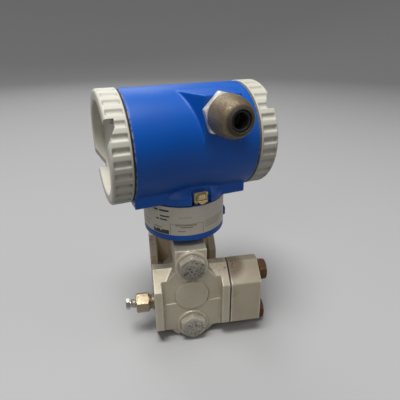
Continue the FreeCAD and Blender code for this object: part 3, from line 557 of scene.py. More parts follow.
# Directions and axes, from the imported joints
UP = Vector((0.0, 0.0, 1.0))
EAST = Vector((1.0, 0.0, 0.0))
NORTH = Vector((0.0, 1.0, 0.0))
BARREL_WAY = joint_vector("terminal_cover_travel", "axis")
BARREL_CROSS = UP.cross(BARREL_WAY)
NECK_FOOT = Vector((*joint_vector("housing_turn", "pos_m").xy, 0.0))
BARREL_MIDDLE = NECK_FOOT + UP * joint_vector("terminal_cover_turn", "pos_m").z
RIGHT_END = Spindle(BARREL_MIDDLE, BARREL_WAY, BARREL_CROSS, UP)
LEFT_END = Spindle(BARREL_MIDDLE, -BARREL_WAY, BARREL_CROSS, UP)
NECK_AXIS = Spindle(NECK_FOOT, UP, EAST, NORTH)
WORN_FROM = 44.3 * MM
WORN_TO = 44.9 * MM


def barrel_rim(way: Vector) -> Rim:
    """The worn edge of the barrel's mouth at one end."""
    middle = BARREL_MIDDLE.dot(way)
    return Rim(way, (middle + WORN_FROM, middle + WORN_TO), srgb(196, 188, 172))


# Finishes, worn and stained as the transmitter is, with painted shade in the enamels' corners, painted highlights
# on the metal edges and a paler rear casting as painted light
BLUE_PAINT = Enamel(
    "blue_enamel", "blue_paint", 0.8 * MM, base=srgb(0, 92, 190), deep=srgb(0, 84, 180),
    rubbed=srgb(70, 124, 206), dirt_and_shade=srgb(30, 32, 42), scuff=srgb(132, 160, 208), grain_depth=0.035 * MM,
    gloss=0.42, specular=0.4, edge_share=0.3, shade_and_dirt_reach=2.0 * MM, shade_and_dirt_share=0.5, speck_share=0.06,
)
BLUE_HOUSING = replace(
    BLUE_PAINT, name="worn_blue_enamel", rims=(barrel_rim(BARREL_WAY), barrel_rim(-BARREL_WAY)),
    patches=(Patch((38, -2, 196), 12, 0.45), Patch((-24, -8, 194), 14, 0.25), Patch((2, -30, 122), 14, 0.3)),
)
GREY_PAINT = Enamel(
    "cream_grey_enamel", "grey_paint", 0.6 * MM, base=srgb(214, 211, 198), deep=srgb(206, 202, 188),
    rubbed=srgb(230, 228, 219), dirt_and_shade=srgb(82, 72, 58), scuff=srgb(168, 150, 122),
    grain_depth=0.05 * MM, gloss=0.48, shade_and_dirt_reach=2.6 * MM, shade_and_dirt_share=0.85, speck_share=0.2,
)
GREY_STAINED = replace(
    GREY_PAINT, name="stained_cream_enamel",
    patches=(Patch((-57, -16, 143), 9, 0.75), Patch((-59, -8, 144), 9, 0.6)),
)
CAST_STEEL = CastMetal(
    "blasted_steel", "steel_casting", 0.7 * MM, base=srgb(202, 193, 172), shade=srgb(192, 182, 160),
    stain=srgb(104, 78, 52), edge_wear_and_highlight=srgb(252, 247, 234), metallic=0.5, gloss=0.4,
    edge_share=1.0, highlight_and_wear_reach=1.6 * MM, grain=0.7 * MM, grain_depth=0.1 * MM,
    stain_reach=3.2 * MM, stain_share=0.5, speck_share=0.06,
    patches=(
        Patch((25, -25, 60), 12, 0.9, 0.25), Patch((14, -12, 72), 12, 0.4),
        Patch((0, -8, 85), 13, 0.7, 0.3), Patch((0, -38, 2), 10, 0.5, 0.2),
    ),
)
# Paler and less metallic than the front casting: painted light for the nook under the housing, which the lamps
# barely reach; the patches are real stains.
REAR_STEEL = replace(
    CAST_STEEL, name="stained_rear_steel_painted_light", base=srgb(232, 217, 190), shade=srgb(222, 206, 177),
    stain=srgb(150, 108, 66), metallic=0.15, stain_share=0.25,
    patches=(Patch((-32, 26, 62), 13, 0.7), Patch((-32, 14, 44), 12, 0.6), Patch((22, 16, 62), 12, 0.3)),
)
CONNECTOR_STEEL = replace(
    CAST_STEEL, name="stained_connector_steel", stain=srgb(92, 66, 42), top_stain=0.1,
    base=srgb(190, 180, 158), shade=srgb(178, 167, 144),
    patches=(Patch((32, -28, 62), 15, 1.0, 0.6, 0.45), Patch((33, -40, 44), 6, 0.3)),
)
BOLT_STEEL = CastMetal(
    "plated_bolt", "bolt_steel", 0.4 * MM, base=srgb(214, 208, 194), shade=srgb(196, 188, 172),
    stain=srgb(44, 40, 34), edge_wear_and_highlight=srgb(242, 238, 228), metallic=0.5, gloss=0.4, speck_size=1.1 * MM,
    speck_share=0.22, grain_depth=0.3 * MM, grain=0.6 * MM, edge_share=0.9,
    patches=(Patch((0, -41, 69.8), 11, 1.0, 0.35, 0.8), Patch((0, -41, 13.4), 10, 0.85, 0.2, 0.75)),
)
RUSTY_STEEL = CastMetal(
    "rusted_bolt", "rusty_steel", 0.4 * MM, base=srgb(122, 80, 42), shade=srgb(94, 60, 32),
    stain=srgb(56, 36, 26), edge_wear_and_highlight=srgb(168, 124, 84), metallic=0.35, gloss=0.6,
    grain_depth=0.25 * MM, speck_share=0.6, speck_size=1.6 * MM, edge_share=0.6,
)
VENT_STEEL = CastMetal(
    "tinted_steel", "vent_steel", 0.3 * MM, base=srgb(160, 149, 127), shade=srgb(144, 130, 104),
    stain=srgb(124, 84, 48), edge_wear_and_highlight=srgb(236, 226, 204), gloss=0.36, top_stain=0.25, speck_share=0.25,
    patches=(Patch((-33, -22, 36), 5, 0.8),),
)
BRIGHT_STEEL = CastMetal(
    "turned_steel", "bright_steel", 0.25 * MM, base=srgb(208, 204, 194), shade=srgb(192, 187, 176),
    stain=srgb(96, 80, 62), edge_wear_and_highlight=srgb(238, 235, 228), metallic=0.95, gloss=0.28,
    grain_depth=0.02 * MM, speck_share=0.05,
)
DULL_BRASS = CastMetal(
    "dull_brass", "brass", 0.3 * MM, base=srgb(246, 222, 164), shade=srgb(222, 188, 122),
    stain=srgb(92, 68, 38), edge_wear_and_highlight=srgb(252, 242, 210), metallic=0.35, gloss=0.4, speck_share=0.55,
    stain_reach=1.2 * MM, stain_share=0.6, grain_depth=0.4 * MM,
)
DIRTY_NICKEL = CastMetal(
    "dirty_nickel", "nickel_brass", 0.4 * MM, base=srgb(150, 135, 110), shade=srgb(124, 108, 83),
    stain=srgb(32, 25, 19), edge_wear_and_highlight=srgb(226, 214, 188), metallic=0.55, gloss=0.42, stain_reach=4 * MM,
    stain_share=0.6, speck_size=1.8 * MM, speck_share=0.3, grain_depth=0.3 * MM,
    patches=(Patch((29.3, -55.6, 183.8), 11.5, 1.0, 0.8, 0.75), Patch((33, -52, 176), 15, 0.75, 0.2)),
)
BRIGHT_NICKEL = replace(
    DIRTY_NICKEL, name="bright_nickel", base=srgb(238, 234, 224), shade=srgb(226, 220, 206),
    metallic=0.5, gloss=0.4, speck_share=0.12, stain_share=0.4, stain_reach=1.6 * MM, patches=(),
)
PLATE_METAL = CastMetal(
    "matt_plate", "plate_metal", 0.1 * MM, base=srgb(208, 200, 184), shade=srgb(200, 191, 174),
    stain=srgb(128, 114, 96), edge_wear_and_highlight=srgb(196, 190, 178), metallic=0.3, gloss=0.46,
    grain_depth=0.01 * MM, speck_share=0.06, top_stain=0.0, stain_share=0.35,
)
BLACK_RUBBER = Moulded("black_rubber_skin", "black_rubber", base=srgb(22, 20, 19), gloss=0.7)
DUSTY_RUBBER = replace(
    BLACK_RUBBER, name="dusty_rubber_skin", base=srgb(120, 114, 102), gloss=0.8, dust_share=0.6)
DARK_GASKET = Moulded("dark_gasket_skin", "gasket", base=srgb(70, 62, 52), gloss=0.75, dust_share=0.4)
BLACK_PLASTIC = Moulded("black_moulding", "black_plastic", base=srgb(34, 34, 36), gloss=0.5, dust_share=0.1)
DARK_PRINT = Moulded(
    "dark_print", "plate_metal", 0.05 * MM, base=srgb(46, 42, 38), gloss=0.6, dust_share=0.3)
PALE_PRINT = replace(DARK_PRINT, name="faded_print", base=srgb(128, 120, 110))


class Row(Enum):
    """How a corner of a turned profile is finished."""

    SHARP = 0.0
    FINE = 0.25 * MM
    SOFT = 0.6 * MM
    ROUND = 1.2 * MM


Corner = tuple[float, float, Row]
ROUNDING_STEPS = 4
ROUNDING_ROOM = 0.45


def sharp(*points: Pair) -> list[Corner]:
    """Corners that stay sharp."""
    return [(along, radius, Row.SHARP) for along, radius in points]


def rounded(corners: Sequence[Corner]) -> list[Pair]:
    """Round the corners of a profile.

    Args:
        corners: Distance along the axis, radius and finish of each corner.

    Returns:
        The profile's points, in order.
    """
    points: list[Pair] = []
    for index, (along, radius, finish) in enumerate(corners):
        here = Vector((along, radius))
        inner = 0 < index < len(corners) - 1
        if not inner or finish is Row.SHARP:
            points.append((along, radius))
            continue
        before = Vector(corners[index - 1][:2]) - here
        after = Vector(corners[index + 1][:2]) - here
        room = min(finish.value, ROUNDING_ROOM * before.length, ROUNDING_ROOM * after.length)
        start = here + before.normalized() * room
        end = here + after.normalized() * room
        for step in range(ROUNDING_STEPS + 1):
            share = step / ROUNDING_STEPS
            spot = start.lerp(here, share).lerp(here.lerp(end, share), share)
            points.append((spot.x, spot.y))
    return points


def oblong(left: float, right: float, low: float, high: float) -> list[Pair]:
    """The four corners of an upright oblong, in order round it."""
    return [(left, low), (right, low), (right, high), (left, high)]


def belt(first: int, second: int, columns: int) -> list[Face]:
    """The faces between two closed rows of points.

    Args:
        first: The number of the first row's first point.
        second: The number of the second row's first point.
        columns: How many points each row has.

    Returns:
        One face for each column.
    """
    pairs = [(column, (column + 1) % columns) for column in range(columns)]
    return [(first + here, first + aside, second + aside, second + here) for here, aside in pairs]


class Workbench:
    """Turns lists of points and faces into pieces of the scene."""

    SMOOTH_LIMIT = math.radians(38.0)
    MERGE_REACH = 1e-7
    NODE_MERGE_REACH = 1e-6
    ON_AXIS = 1e-9
    RELAXING = 0.5
    SHEET_STEP = 2.0
    BEVEL_STEPS = 2

    @staticmethod
    def placed(name: str, data: bpy.types.ID) -> Piece:
        """Link new data to the scene.

        Args:
            name: The object's name.
            data: Its mesh, light or camera.

        Returns:
            The new object.
        """
        made = bpy.data.objects.new(name, data)
        bpy.context.scene.collection.objects.link(made)
        return made

    @staticmethod
    def piece(name: str, points: Sequence[Vector], faces: Sequence[Face]) -> Piece:
        """Make a mesh piece with outward faces and crisp edges.

        Args:
            name: The piece's name.
            points: Its points in the part's frame.
            faces: Its faces as lists of point numbers.

        Returns:
            The new object, linked to the scene.
        """
        mesh = bpy.data.meshes.new(name)
        mesh.from_pydata([tuple(point) for point in points], [], [tuple(face) for face in faces])
        work = bmesh.new()
        work.from_mesh(mesh)
        bmesh.ops.remove_doubles(work, verts=work.verts, dist=Workbench.MERGE_REACH)
        bmesh.ops.recalc_face_normals(work, faces=work.faces)
        work.to_mesh(mesh)
        work.free()
        made = Workbench.placed(name, mesh)
        Workbench.smooth(made)
        return made

    @staticmethod
    def smooth(made: Piece, crisp: bool = True) -> None:
        """Shade a piece smoothly.

        Args:
            made: The piece.
            crisp: Whether its sharp edges stay crisp.
        """
        made.data.polygons.foreach_set("use_smooth", [True] * len(made.data.polygons))
        if crisp:
            made.data.set_sharp_from_angle(angle=Workbench.SMOOTH_LIMIT)

    @staticmethod
    def settle(made: Piece, crisp: bool = True) -> None:
        """Make the result of a piece's modifiers its own mesh, and shade it smoothly.

        Args:
            made: The piece.
            crisp: Whether its sharp edges stay crisp.
        """
        graph = bpy.context.evaluated_depsgraph_get()
        mesh = bpy.data.meshes.new_from_object(made.evaluated_get(graph))
        made.modifiers.clear()
        made.data = mesh
        Workbench.smooth(made, crisp)

    @staticmethod
    def turned(
        name: str, spindle: Spindle, profile: Sequence[Pair], columns: int, shape: Shape | None = None,
    ) -> Piece:
        """A closed turned shape whose radius may vary round the axis.

        Args:
            name: The piece's name.
            spindle: The axis that it is turned on.
            profile: Distance along the axis and radius, from one end of the axis round to the other.
            columns: How many steps go round.
            shape: Gives the radius from distance, radius and angle; left out for plain turning.

        Returns:
            The new piece.
        """
        points: list[Vector] = []
        for along, radius in profile:
            for column in range(columns):
                angle = math.tau * column / columns
                wide = shape(along, radius, angle) if shape else radius
                points.append(spindle.at(along, wide, angle))
        faces: list[Face] = []
        for row, (_, radius) in enumerate(profile):
            below = (row + 1) % len(profile)
            if max(radius, profile[below][1]) >= Workbench.ON_AXIS:
                faces += belt(row * columns, below * columns, columns)
        return Workbench.piece(name, points, faces)

    @staticmethod
    def arc_sheet(name: str, spindle: Spindle, radii: Pair, heights: Pair, angles: Pair) -> Piece:
        """A thin sheet bent round an axis.

        Args:
            name: The piece's name.
            spindle: The axis.
            radii: Its inner and outer radius.
            heights: Its lower and upper edge along the axis.
            angles: Where it starts and ends, in degrees.

        Returns:
            The new piece.
        """
        count = max(1, math.ceil((angles[1] - angles[0]) / Workbench.SHEET_STEP))
        section = [(along, radius) for radius, along in oblong(*radii, *heights)]
        corners = len(section)
        points = []
        for index in range(count + 1):
            angle = math.radians(angles[0] + (angles[1] - angles[0]) * index / count)
            points += [spindle.at(along, radius, angle) for along, radius in section]
        faces: list[Face] = [range(corners), range(corners * count, corners * (count + 1))]
        for index in range(count):
            faces += belt(corners * index, corners * (index + 1), corners)
        return Workbench.piece(name, points, faces)

    @staticmethod
    def prism(name: str, outline: Sequence[Vector], way: Vector) -> Piece:
        """A straight prism.

        Args:
            name: The piece's name.
            outline: The corners of one end, in order round it.
            way: How far and where the other end lies.

        Returns:
            The new piece.
        """
        count = len(outline)
        points = [*outline, *[point + way for point in outline]]
        return Workbench.piece(name, points, [range(count), range(count, 2 * count), *belt(0, count, count)])

    @staticmethod
    def soften(made: Piece, width: float) -> None:
        """Round the sharp edges of a piece.

        Args:
            made: The piece.
            width: How wide the rounding is.
        """
        bevel = made.modifiers.new("soften", "BEVEL")
        bevel.width = width
        bevel.segments = Workbench.BEVEL_STEPS
        bevel.limit_method = "ANGLE"
        bevel.angle_limit = Workbench.SMOOTH_LIMIT
        Workbench.settle(made)

    @staticmethod
    def carve(made: Piece, *cutters: Piece) -> None:
        """Cut shapes out of a piece and drop the cutters.

        Args:
            made: The piece.
            cutters: The shapes to cut out.
        """
        for cutter in cutters:
            cut = made.modifiers.new("cut", "BOOLEAN")
            cut.operation = "DIFFERENCE"
            cut.solver = "EXACT"
            cut.object = cutter
        Workbench.settle(made)
        for cutter in cutters:
            bpy.data.objects.remove(cutter)

    @staticmethod
    def casting(name: str, node: str, grain: float, rounds: int, keep: float) -> Piece:
        """A node's solid with the soft edges and corners of a casting.

        Args:
            name: The piece's name.
            node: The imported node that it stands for.
            grain: The mesh's cell size.
            rounds: How often the mesh is relaxed; more makes softer edges.
            keep: The share of the faces that is kept.

        Returns:
            The new piece.
        """
        mesh = frame["nodes"][node].data.copy()
        mesh.materials.clear()
        work = bmesh.new()
        work.from_mesh(mesh)
        bmesh.ops.remove_doubles(work, verts=work.verts, dist=Workbench.NODE_MERGE_REACH)
        work.to_mesh(mesh)
        work.free()
        made = Workbench.placed(name, mesh)
        cells = made.modifiers.new("cells", "REMESH")
        cells.mode = "VOXEL"
        cells.voxel_size = grain
        relax = made.modifiers.new("relax", "SMOOTH")
        relax.factor = Workbench.RELAXING
        relax.iterations = rounds
        thin = made.modifiers.new("thin", "DECIMATE")
        thin.ratio = keep
        Workbench.settle(made, crisp=False)
        return made

    @staticmethod
    def join(name: str, made: Sequence[Piece]) -> Piece:
        """Several loose meshes as one piece.

        Args:
            name: The new piece's name.
            made: The meshes, which are dropped.

        Returns:
            The new piece.
        """
        work = bmesh.new()
        for item in made:
            work.from_mesh(item.data)
        mesh = bpy.data.meshes.new(name)
        work.to_mesh(mesh)
        work.free()
        for item in made:
            bpy.data.objects.remove(item)
        whole = Workbench.placed(name, mesh)
        Workbench.smooth(whole)
        return whole


def finish_piece(made: Piece, finish: Finish, body: str, *nodes: str) -> None:
    """Paint a piece, hang it on its body and let it stand for its nodes.

    Args:
        made: The piece.
        finish: Its finish.
        body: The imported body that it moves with.
        nodes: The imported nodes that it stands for.
    """
    made.data.materials.clear()
    made.data.materials.append(finish.material())
    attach(made, body)
    if nodes:
        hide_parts(*nodes)
    LOG.info("%s: %d faces, %s", made.name, len(made.data.polygons), finish.name)


def paint_node(node: str, finish: Finish) -> None:
    """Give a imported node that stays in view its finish.

    Args:
        node: The node's name.
        finish: Its finish.
    """
    item = frame["nodes"][node]
    item.data.materials.clear()
    item.data.materials.append(finish.material())
    Workbench.smooth(item)
    LOG.info("%s: packed node, %s", node, finish.name)


# Turned hexagons and threads
HEXAGON_SIDES = 6
HEXAGON_COLUMNS = 72
CROWN_FACE = 0.965
CROWN_SLOPE = 0.55
CROWN_STEPS = 6


def hexed(flat: float, turn: float = 0.0) -> Shape:
    """A shape that trims a turned piece to a hexagon.

    Args:
        flat: The size across flats.
        turn: The direction of one flat, in radians.

    Returns:
        A function of distance, radius and angle that gives the trimmed radius.
    """
    sixth = math.tau / HEXAGON_SIDES

    def trim(along: float, radius: float, angle: float) -> float:
        """The smaller of the turned radius and the hexagon's."""
        aside = (angle - turn + sixth / 2.0) % sixth - sixth / 2.0
        return min(radius, flat / 2.0 / math.cos(aside))

    return trim


def crowned(near: float, far: float, flat: float, both_ends: bool = False) -> list[Corner]:
    """The profile of a hexagon whose corners are turned off at its far face.

    Args:
        near: Where the hexagon starts along the axis.
        far: Where its outer face lies.
        flat: The size across flats.
        both_ends: Whether the near face is turned too.

    Returns:
        The corners from near to far.
    """
    peak = flat / math.sqrt(3.0)
    spread = peak - CROWN_FACE * flat / 2.0
    way = math.copysign(CROWN_SLOPE, far - near)
    slope = [
        (way * spread * step / CROWN_STEPS, peak - spread * (CROWN_STEPS - step) / CROWN_STEPS)
        for step in range(CROWN_STEPS + 1)
    ]
    start = [(near + drop, wide) for drop, wide in slope] if both_ends else [(near, peak)]
    return sharp(*start, *[(far - drop, wide) for drop, wide in reversed(slope)])


def threaded(start: float, end: float, radius: float, pitch: float, depth: float) -> list[Corner]:
    """The profile of a threaded stretch as close ridges.

    Args:
        start: Where the thread begins along the axis.
        end: Where it ends.
        radius: The crest's radius.
        pitch: The distance between ridges.
        depth: How deep the roots are.

    Returns:
        The corners from start to end.
    """
    count = max(1, int(abs(end - start) / pitch))
    step = (end - start) / count
    rows: list[Pair] = []
    for index in range(count):
        rows += [(start + index * step, radius - depth), (start + (index + 0.5) * step, radius)]
    return sharp(*rows, (end, radius - depth))


@dataclass
class ScrewedCover:
    """A screwed end cover: fluted rim, deep recess and two opposite notches for a bar.

    Attributes:
        notch_angle: Where the first notch lies round the axis, in degrees.
        flute_angle: Where one flute lies round the axis, in degrees.
        lean: The side to which the notches slope, 1 or -1.
    """

    name: str
    node: str
    body: str
    spindle: Spindle
    finish: Finish
    notch_angle: float
    flute_angle: float
    lean: int
    radius: float = 40.5 * MM
    seat: float = 46.3 * MM
    thick: float = 14.2 * MM
    edge: float = 2.2 * MM
    edge_steps: int = 6
    back_edge: float = 0.4 * MM
    recess: float = 32.5 * MM
    recess_depth: float = 8.0 * MM
    recess_edge: float = 0.8 * MM
    floor: float = 3.2 * MM
    spigot: float = 35.0 * MM
    spigot_edge: float = 1.0 * MM
    bore: float = 30.0 * MM
    spigot_length: float = 12.5 * MM
    thread_start: float = 0.8 * MM
    thread_pitch: float = 2.0 * MM
    thread_depth: float = 1.1 * MM
    flutes: int = 30
    flute_radius: float = 2.6 * MM
    flute_out: float = 1.3 * MM
    flute_soft: float = 0.3 * MM
    flute_start: float = 1.2 * MM
    flute_stop: float = 1.7 * MM
    run_in: float = 0.5 * MM
    run_in_steps: int = 3
    run_out: float = 1.0 * MM
    run_out_steps: int = 5
    columns_per_flute: int = 20
    notch_inner: float = 20.0 * MM
    notch_outer: float = 45.0 * MM
    notch_depth: float = 6.1 * MM
    notch_square: float = 4.0 * MM
    notch_flat: float = 1.2 * MM
    notch_ramp: float = 11.7 * MM
    notch_above: float = 1.0 * MM

    def rim(self) -> list[Corner]:
        """The profile of the rounded front edge and of the fluted rim.

        Returns:
            The corners from the face to the seat.
        """
        face = self.seat + self.thick
        rows: list[Pair] = []
        for step in range(self.edge_steps + 1):
            turn = 0.5 * math.pi * step / self.edge_steps
            out = self.radius - self.edge * (1.0 - math.sin(turn))
            rows.append((face - self.edge * (1.0 - math.cos(turn)), out))
        for step in range(1, self.run_out_steps + 1):
            rows.append((face - self.edge - self.run_out * step / self.run_out_steps, self.radius))
        for step in range(self.run_in_steps, -1, -1):
            rows.append((self.seat + self.flute_start + self.run_in * step / self.run_in_steps, self.radius))
        rows += [(self.seat + self.back_edge, self.radius), (self.seat, self.radius - self.back_edge)]
        return sharp(*rows)

    def profile(self) -> list[Pair]:
        """The cover's half section.

        Returns:
            Its points from the middle of the face to the middle of the back.
        """
        face = self.seat + self.thick
        floor = face - self.recess_depth
        back = floor - self.floor
        tip = self.seat - self.spigot_length
        corners: list[Corner] = [
            (floor, 0.0, Row.SHARP), (floor, self.recess, Row.ROUND),
            (face - self.recess_edge, self.recess, Row.FINE),
            (face, self.recess + self.recess_edge, Row.FINE),
            *self.rim(), (self.seat, self.spigot, Row.SHARP),
        ]
        along = self.seat - self.thread_start
        while along > tip + self.thread_pitch:
            root = along - 0.5 * self.thread_pitch
            corners += sharp((along, self.spigot), (root, self.spigot - self.thread_depth))
            along -= self.thread_pitch
        corners += [
            (tip, self.spigot - self.spigot_edge, Row.FINE), (tip, self.bore, Row.FINE),
            (back, self.bore, Row.SOFT), (back, 0.0, Row.SHARP),
        ]
        return rounded(corners)

    def fluted(self, along: float, radius: float, angle: float) -> float:
        """The radius of the rim, less the hollow of a flute with softened shoulders.

        Args:
            along: The distance along the axis.
            radius: The turned radius.
            angle: The angle round the axis, in radians.

        Returns:
            The radius at that place.
        """
        inward = along - self.seat
        if radius < self.radius - self.edge or inward < self.flute_start:
            return radius
        start = min(1.0, max(0.0, (inward - self.flute_start) / self.run_in))
        stop = min(1.0, max(0.0, (self.thick - self.flute_stop - inward) / self.run_out))
        turn = self.flutes * (angle - math.radians(self.flute_angle)) / math.tau
        aside = abs(turn - round(turn)) * math.tau * self.radius / self.flutes
        sink = -self.flute_out - max(0.0, aside - self.flute_radius)
        sink += math.sqrt(max(0.0, self.flute_radius ** 2 - aside ** 2))
        soft = 0.5 * (sink + math.hypot(sink, self.flute_soft))
        return min(radius, self.radius - soft * start * math.sin(stop * math.pi / 2.0))

    def notch(self, half_turn: float) -> Piece:
        """The shape that is cut out of the rim on one side, square at one end and sloped at the other.

        Args:
            half_turn: 0 for the notch at notch_angle and half a turn for the opposite one.

        Returns:
            The cutter.
        """
        face = self.seat + self.thick
        ledge = face - self.notch_depth
        above = face + self.notch_above
        slope = (self.notch_ramp - self.notch_flat) / self.notch_depth
        section = [
            (above, -self.notch_square), (ledge, -self.notch_square), (ledge, self.notch_flat),
            (above, self.notch_ramp + slope * self.notch_above),
        ]
        turn = math.radians(self.notch_angle) + half_turn
        outline = []
        for along, offset in section:
            aside = offset * self.lean
            across = self.notch_inner * math.cos(turn) - aside * math.sin(turn)
            rise = self.notch_inner * math.sin(turn) + aside * math.cos(turn)
            outline.append(self.spindle.flat(along, across, rise))
        out = self.spindle.across * math.cos(turn) + self.spindle.up * math.sin(turn)
        return Workbench.prism("notch", outline, out * (self.notch_outer - self.notch_inner))

    def build(self) -> None:
        """Turn the cover, cut its notches and paint it."""
        columns = self.flutes * self.columns_per_flute
        made = Workbench.turned(self.name, self.spindle, self.profile(), columns, self.fluted)
        Workbench.carve(made, self.notch(0.0), self.notch(math.pi))
        finish_piece(made, self.finish, self.body, self.node)


@dataclass
class Casting:
    """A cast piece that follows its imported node, with soft edges."""

    name: str
    node: str
    body: str
    finish: Finish
    grain: float = 0.5 * MM
    rounds: int = 3
    keep: float = 0.35

    def build(self) -> None:
        """Soften the node's solid and paint it."""
        made = Workbench.casting(self.name, self.node, self.grain, self.rounds, self.keep)
        finish_piece(made, self.finish, self.body, self.node)


@dataclass
class CoverBolts:
    """The two bolts that hold the process covers together, with their nuts behind."""

    flat: float = 19.0 * MM
    radius: float = 6.35 * MM
    tip_edge: float = 1.6 * MM
    tip_length: float = 1.0 * MM
    thread_pitch: float = 1.95 * MM
    thread_depth: float = 0.9 * MM
    thread_past_nut: float = 4.0 * MM
    thread_runout: float = 1.0 * MM
    nut_play: float = 0.1 * MM
    rise: float = 28.2 * MM
    height: float = 41.6 * MM
    head_height: float = 4.9 * MM

    def spindle(self, way: int) -> Spindle:
        """The axis of the upper or lower bolt, pointing out of the front."""
        middle = Vector((0.0, NECK_FOOT.y, self.height + way * self.rise))
        return Spindle(middle, -NORTH, EAST, UP)

    def bolt(self, axis: Spindle) -> Piece:
        """One bolt with its chamfered head and the thread behind.

        Args:
            axis: The bolt's axis.

        Returns:
            The bolt.
        """
        tail, face = axis.reach("cover_bolts")
        under = face - self.head_height
        end = axis.reach("cover_nuts")[1] + self.thread_past_nut
        profile = [
            *sharp((tail, 0.0), (tail, self.radius - self.tip_edge)),
            *threaded(tail + self.tip_length, end, self.radius, self.thread_pitch, self.thread_depth),
            *sharp((end + self.thread_runout, self.radius), (under, self.radius)),
            *crowned(under, face, self.flat), *sharp((face, 0.0)),
        ]
        return Workbench.turned("bolt", axis, rounded(profile), HEXAGON_COLUMNS, hexed(self.flat))

    def nut(self, axis: Spindle) -> Piece:
        """One nut, its bore clear of the bolt.

        Args:
            axis: The bolt's axis.

        Returns:
            The nut.
        """
        near, far = axis.reach("cover_nuts")
        hole = self.radius + self.nut_play
        profile = [*sharp((far, hole)), *crowned(far, near, self.flat, both_ends=True), *sharp((near, hole))]
        return Workbench.turned("nut", axis, rounded(profile), HEXAGON_COLUMNS, hexed(self.flat))

    def build(self) -> None:
        """Make bolts and nuts as two pieces."""
        axes = [self.spindle(1), self.spindle(-1)]
        bolts = Workbench.join("cover_bolts_dressed", [self.bolt(axis) for axis in axes])
        finish_piece(bolts, BOLT_STEEL, "process_body", "cover_bolts")
        nuts = Workbench.join("cover_nuts_dressed", [self.nut(axis) for axis in axes])
        finish_piece(nuts, BOLT_STEEL, "process_body", "cover_nuts")


@dataclass
class ConnectorBolts:
    """The connector's two bolts and washers."""

    flat: float = 15.9 * MM
    radius: float = 5.3 * MM
    tip_edge: float = 1.0 * MM
    spread: float = 41.3 * MM
    washer_radius: float = 9.0 * MM
    washer_columns: int = 64
    hole: float = 5.4 * MM

    def spindle(self, way: int) -> Spindle:
        """The axis of the upper or lower bolt, pointing out of the connector."""
        place = Vector(next(m["pos_m"] for m in frame["record"]["mounts"] if m["name"] == "process_inlet"))
        return Spindle(Vector((0.0, place.y, place.z + way * self.spread / 2.0)), EAST, NORTH, UP)

    def bolt(self, axis: Spindle) -> Piece:
        """One bolt, its head on the washer.

        Args:
            axis: The bolt's axis.

        Returns:
            The bolt.
        """
        tail, face = axis.reach("connector_bolts")
        under = axis.reach("connector_washers")[1]
        profile = [
            *sharp((tail, 0.0), (tail, self.radius - self.tip_edge)),
            *sharp((tail + self.tip_edge, self.radius), (under, self.radius)),
            *crowned(under, face, self.flat), *sharp((face, 0.0)),
        ]
        return Workbench.turned("bolt", axis, rounded(profile), HEXAGON_COLUMNS, hexed(self.flat))

    def washer(self, axis: Spindle) -> Piece:
        """One washer.

        Args:
            axis: The bolt's axis.

        Returns:
            The washer.
        """
        low, high = axis.reach("connector_washers")
        ring: list[Corner] = [
            (low, self.hole, Row.SHARP), (low, self.washer_radius, Row.FINE),
            (high, self.washer_radius, Row.FINE), (high, self.hole, Row.SHARP),
        ]
        return Workbench.turned("washer", axis, rounded(ring), self.washer_columns)

    def build(self) -> None:
        """Make bolts and washers as two pieces."""
        axes = [self.spindle(1), self.spindle(-1)]
        bolts = Workbench.join("connector_bolts_dressed", [self.bolt(axis) for axis in axes])
        finish_piece(bolts, RUSTY_STEEL, "process_body", "connector_bolts")
        washers = Workbench.join("connector_washers_dressed", [self.washer(axis) for axis in axes])
        finish_piece(washers, RUSTY_STEEL, "process_body", "connector_washers")


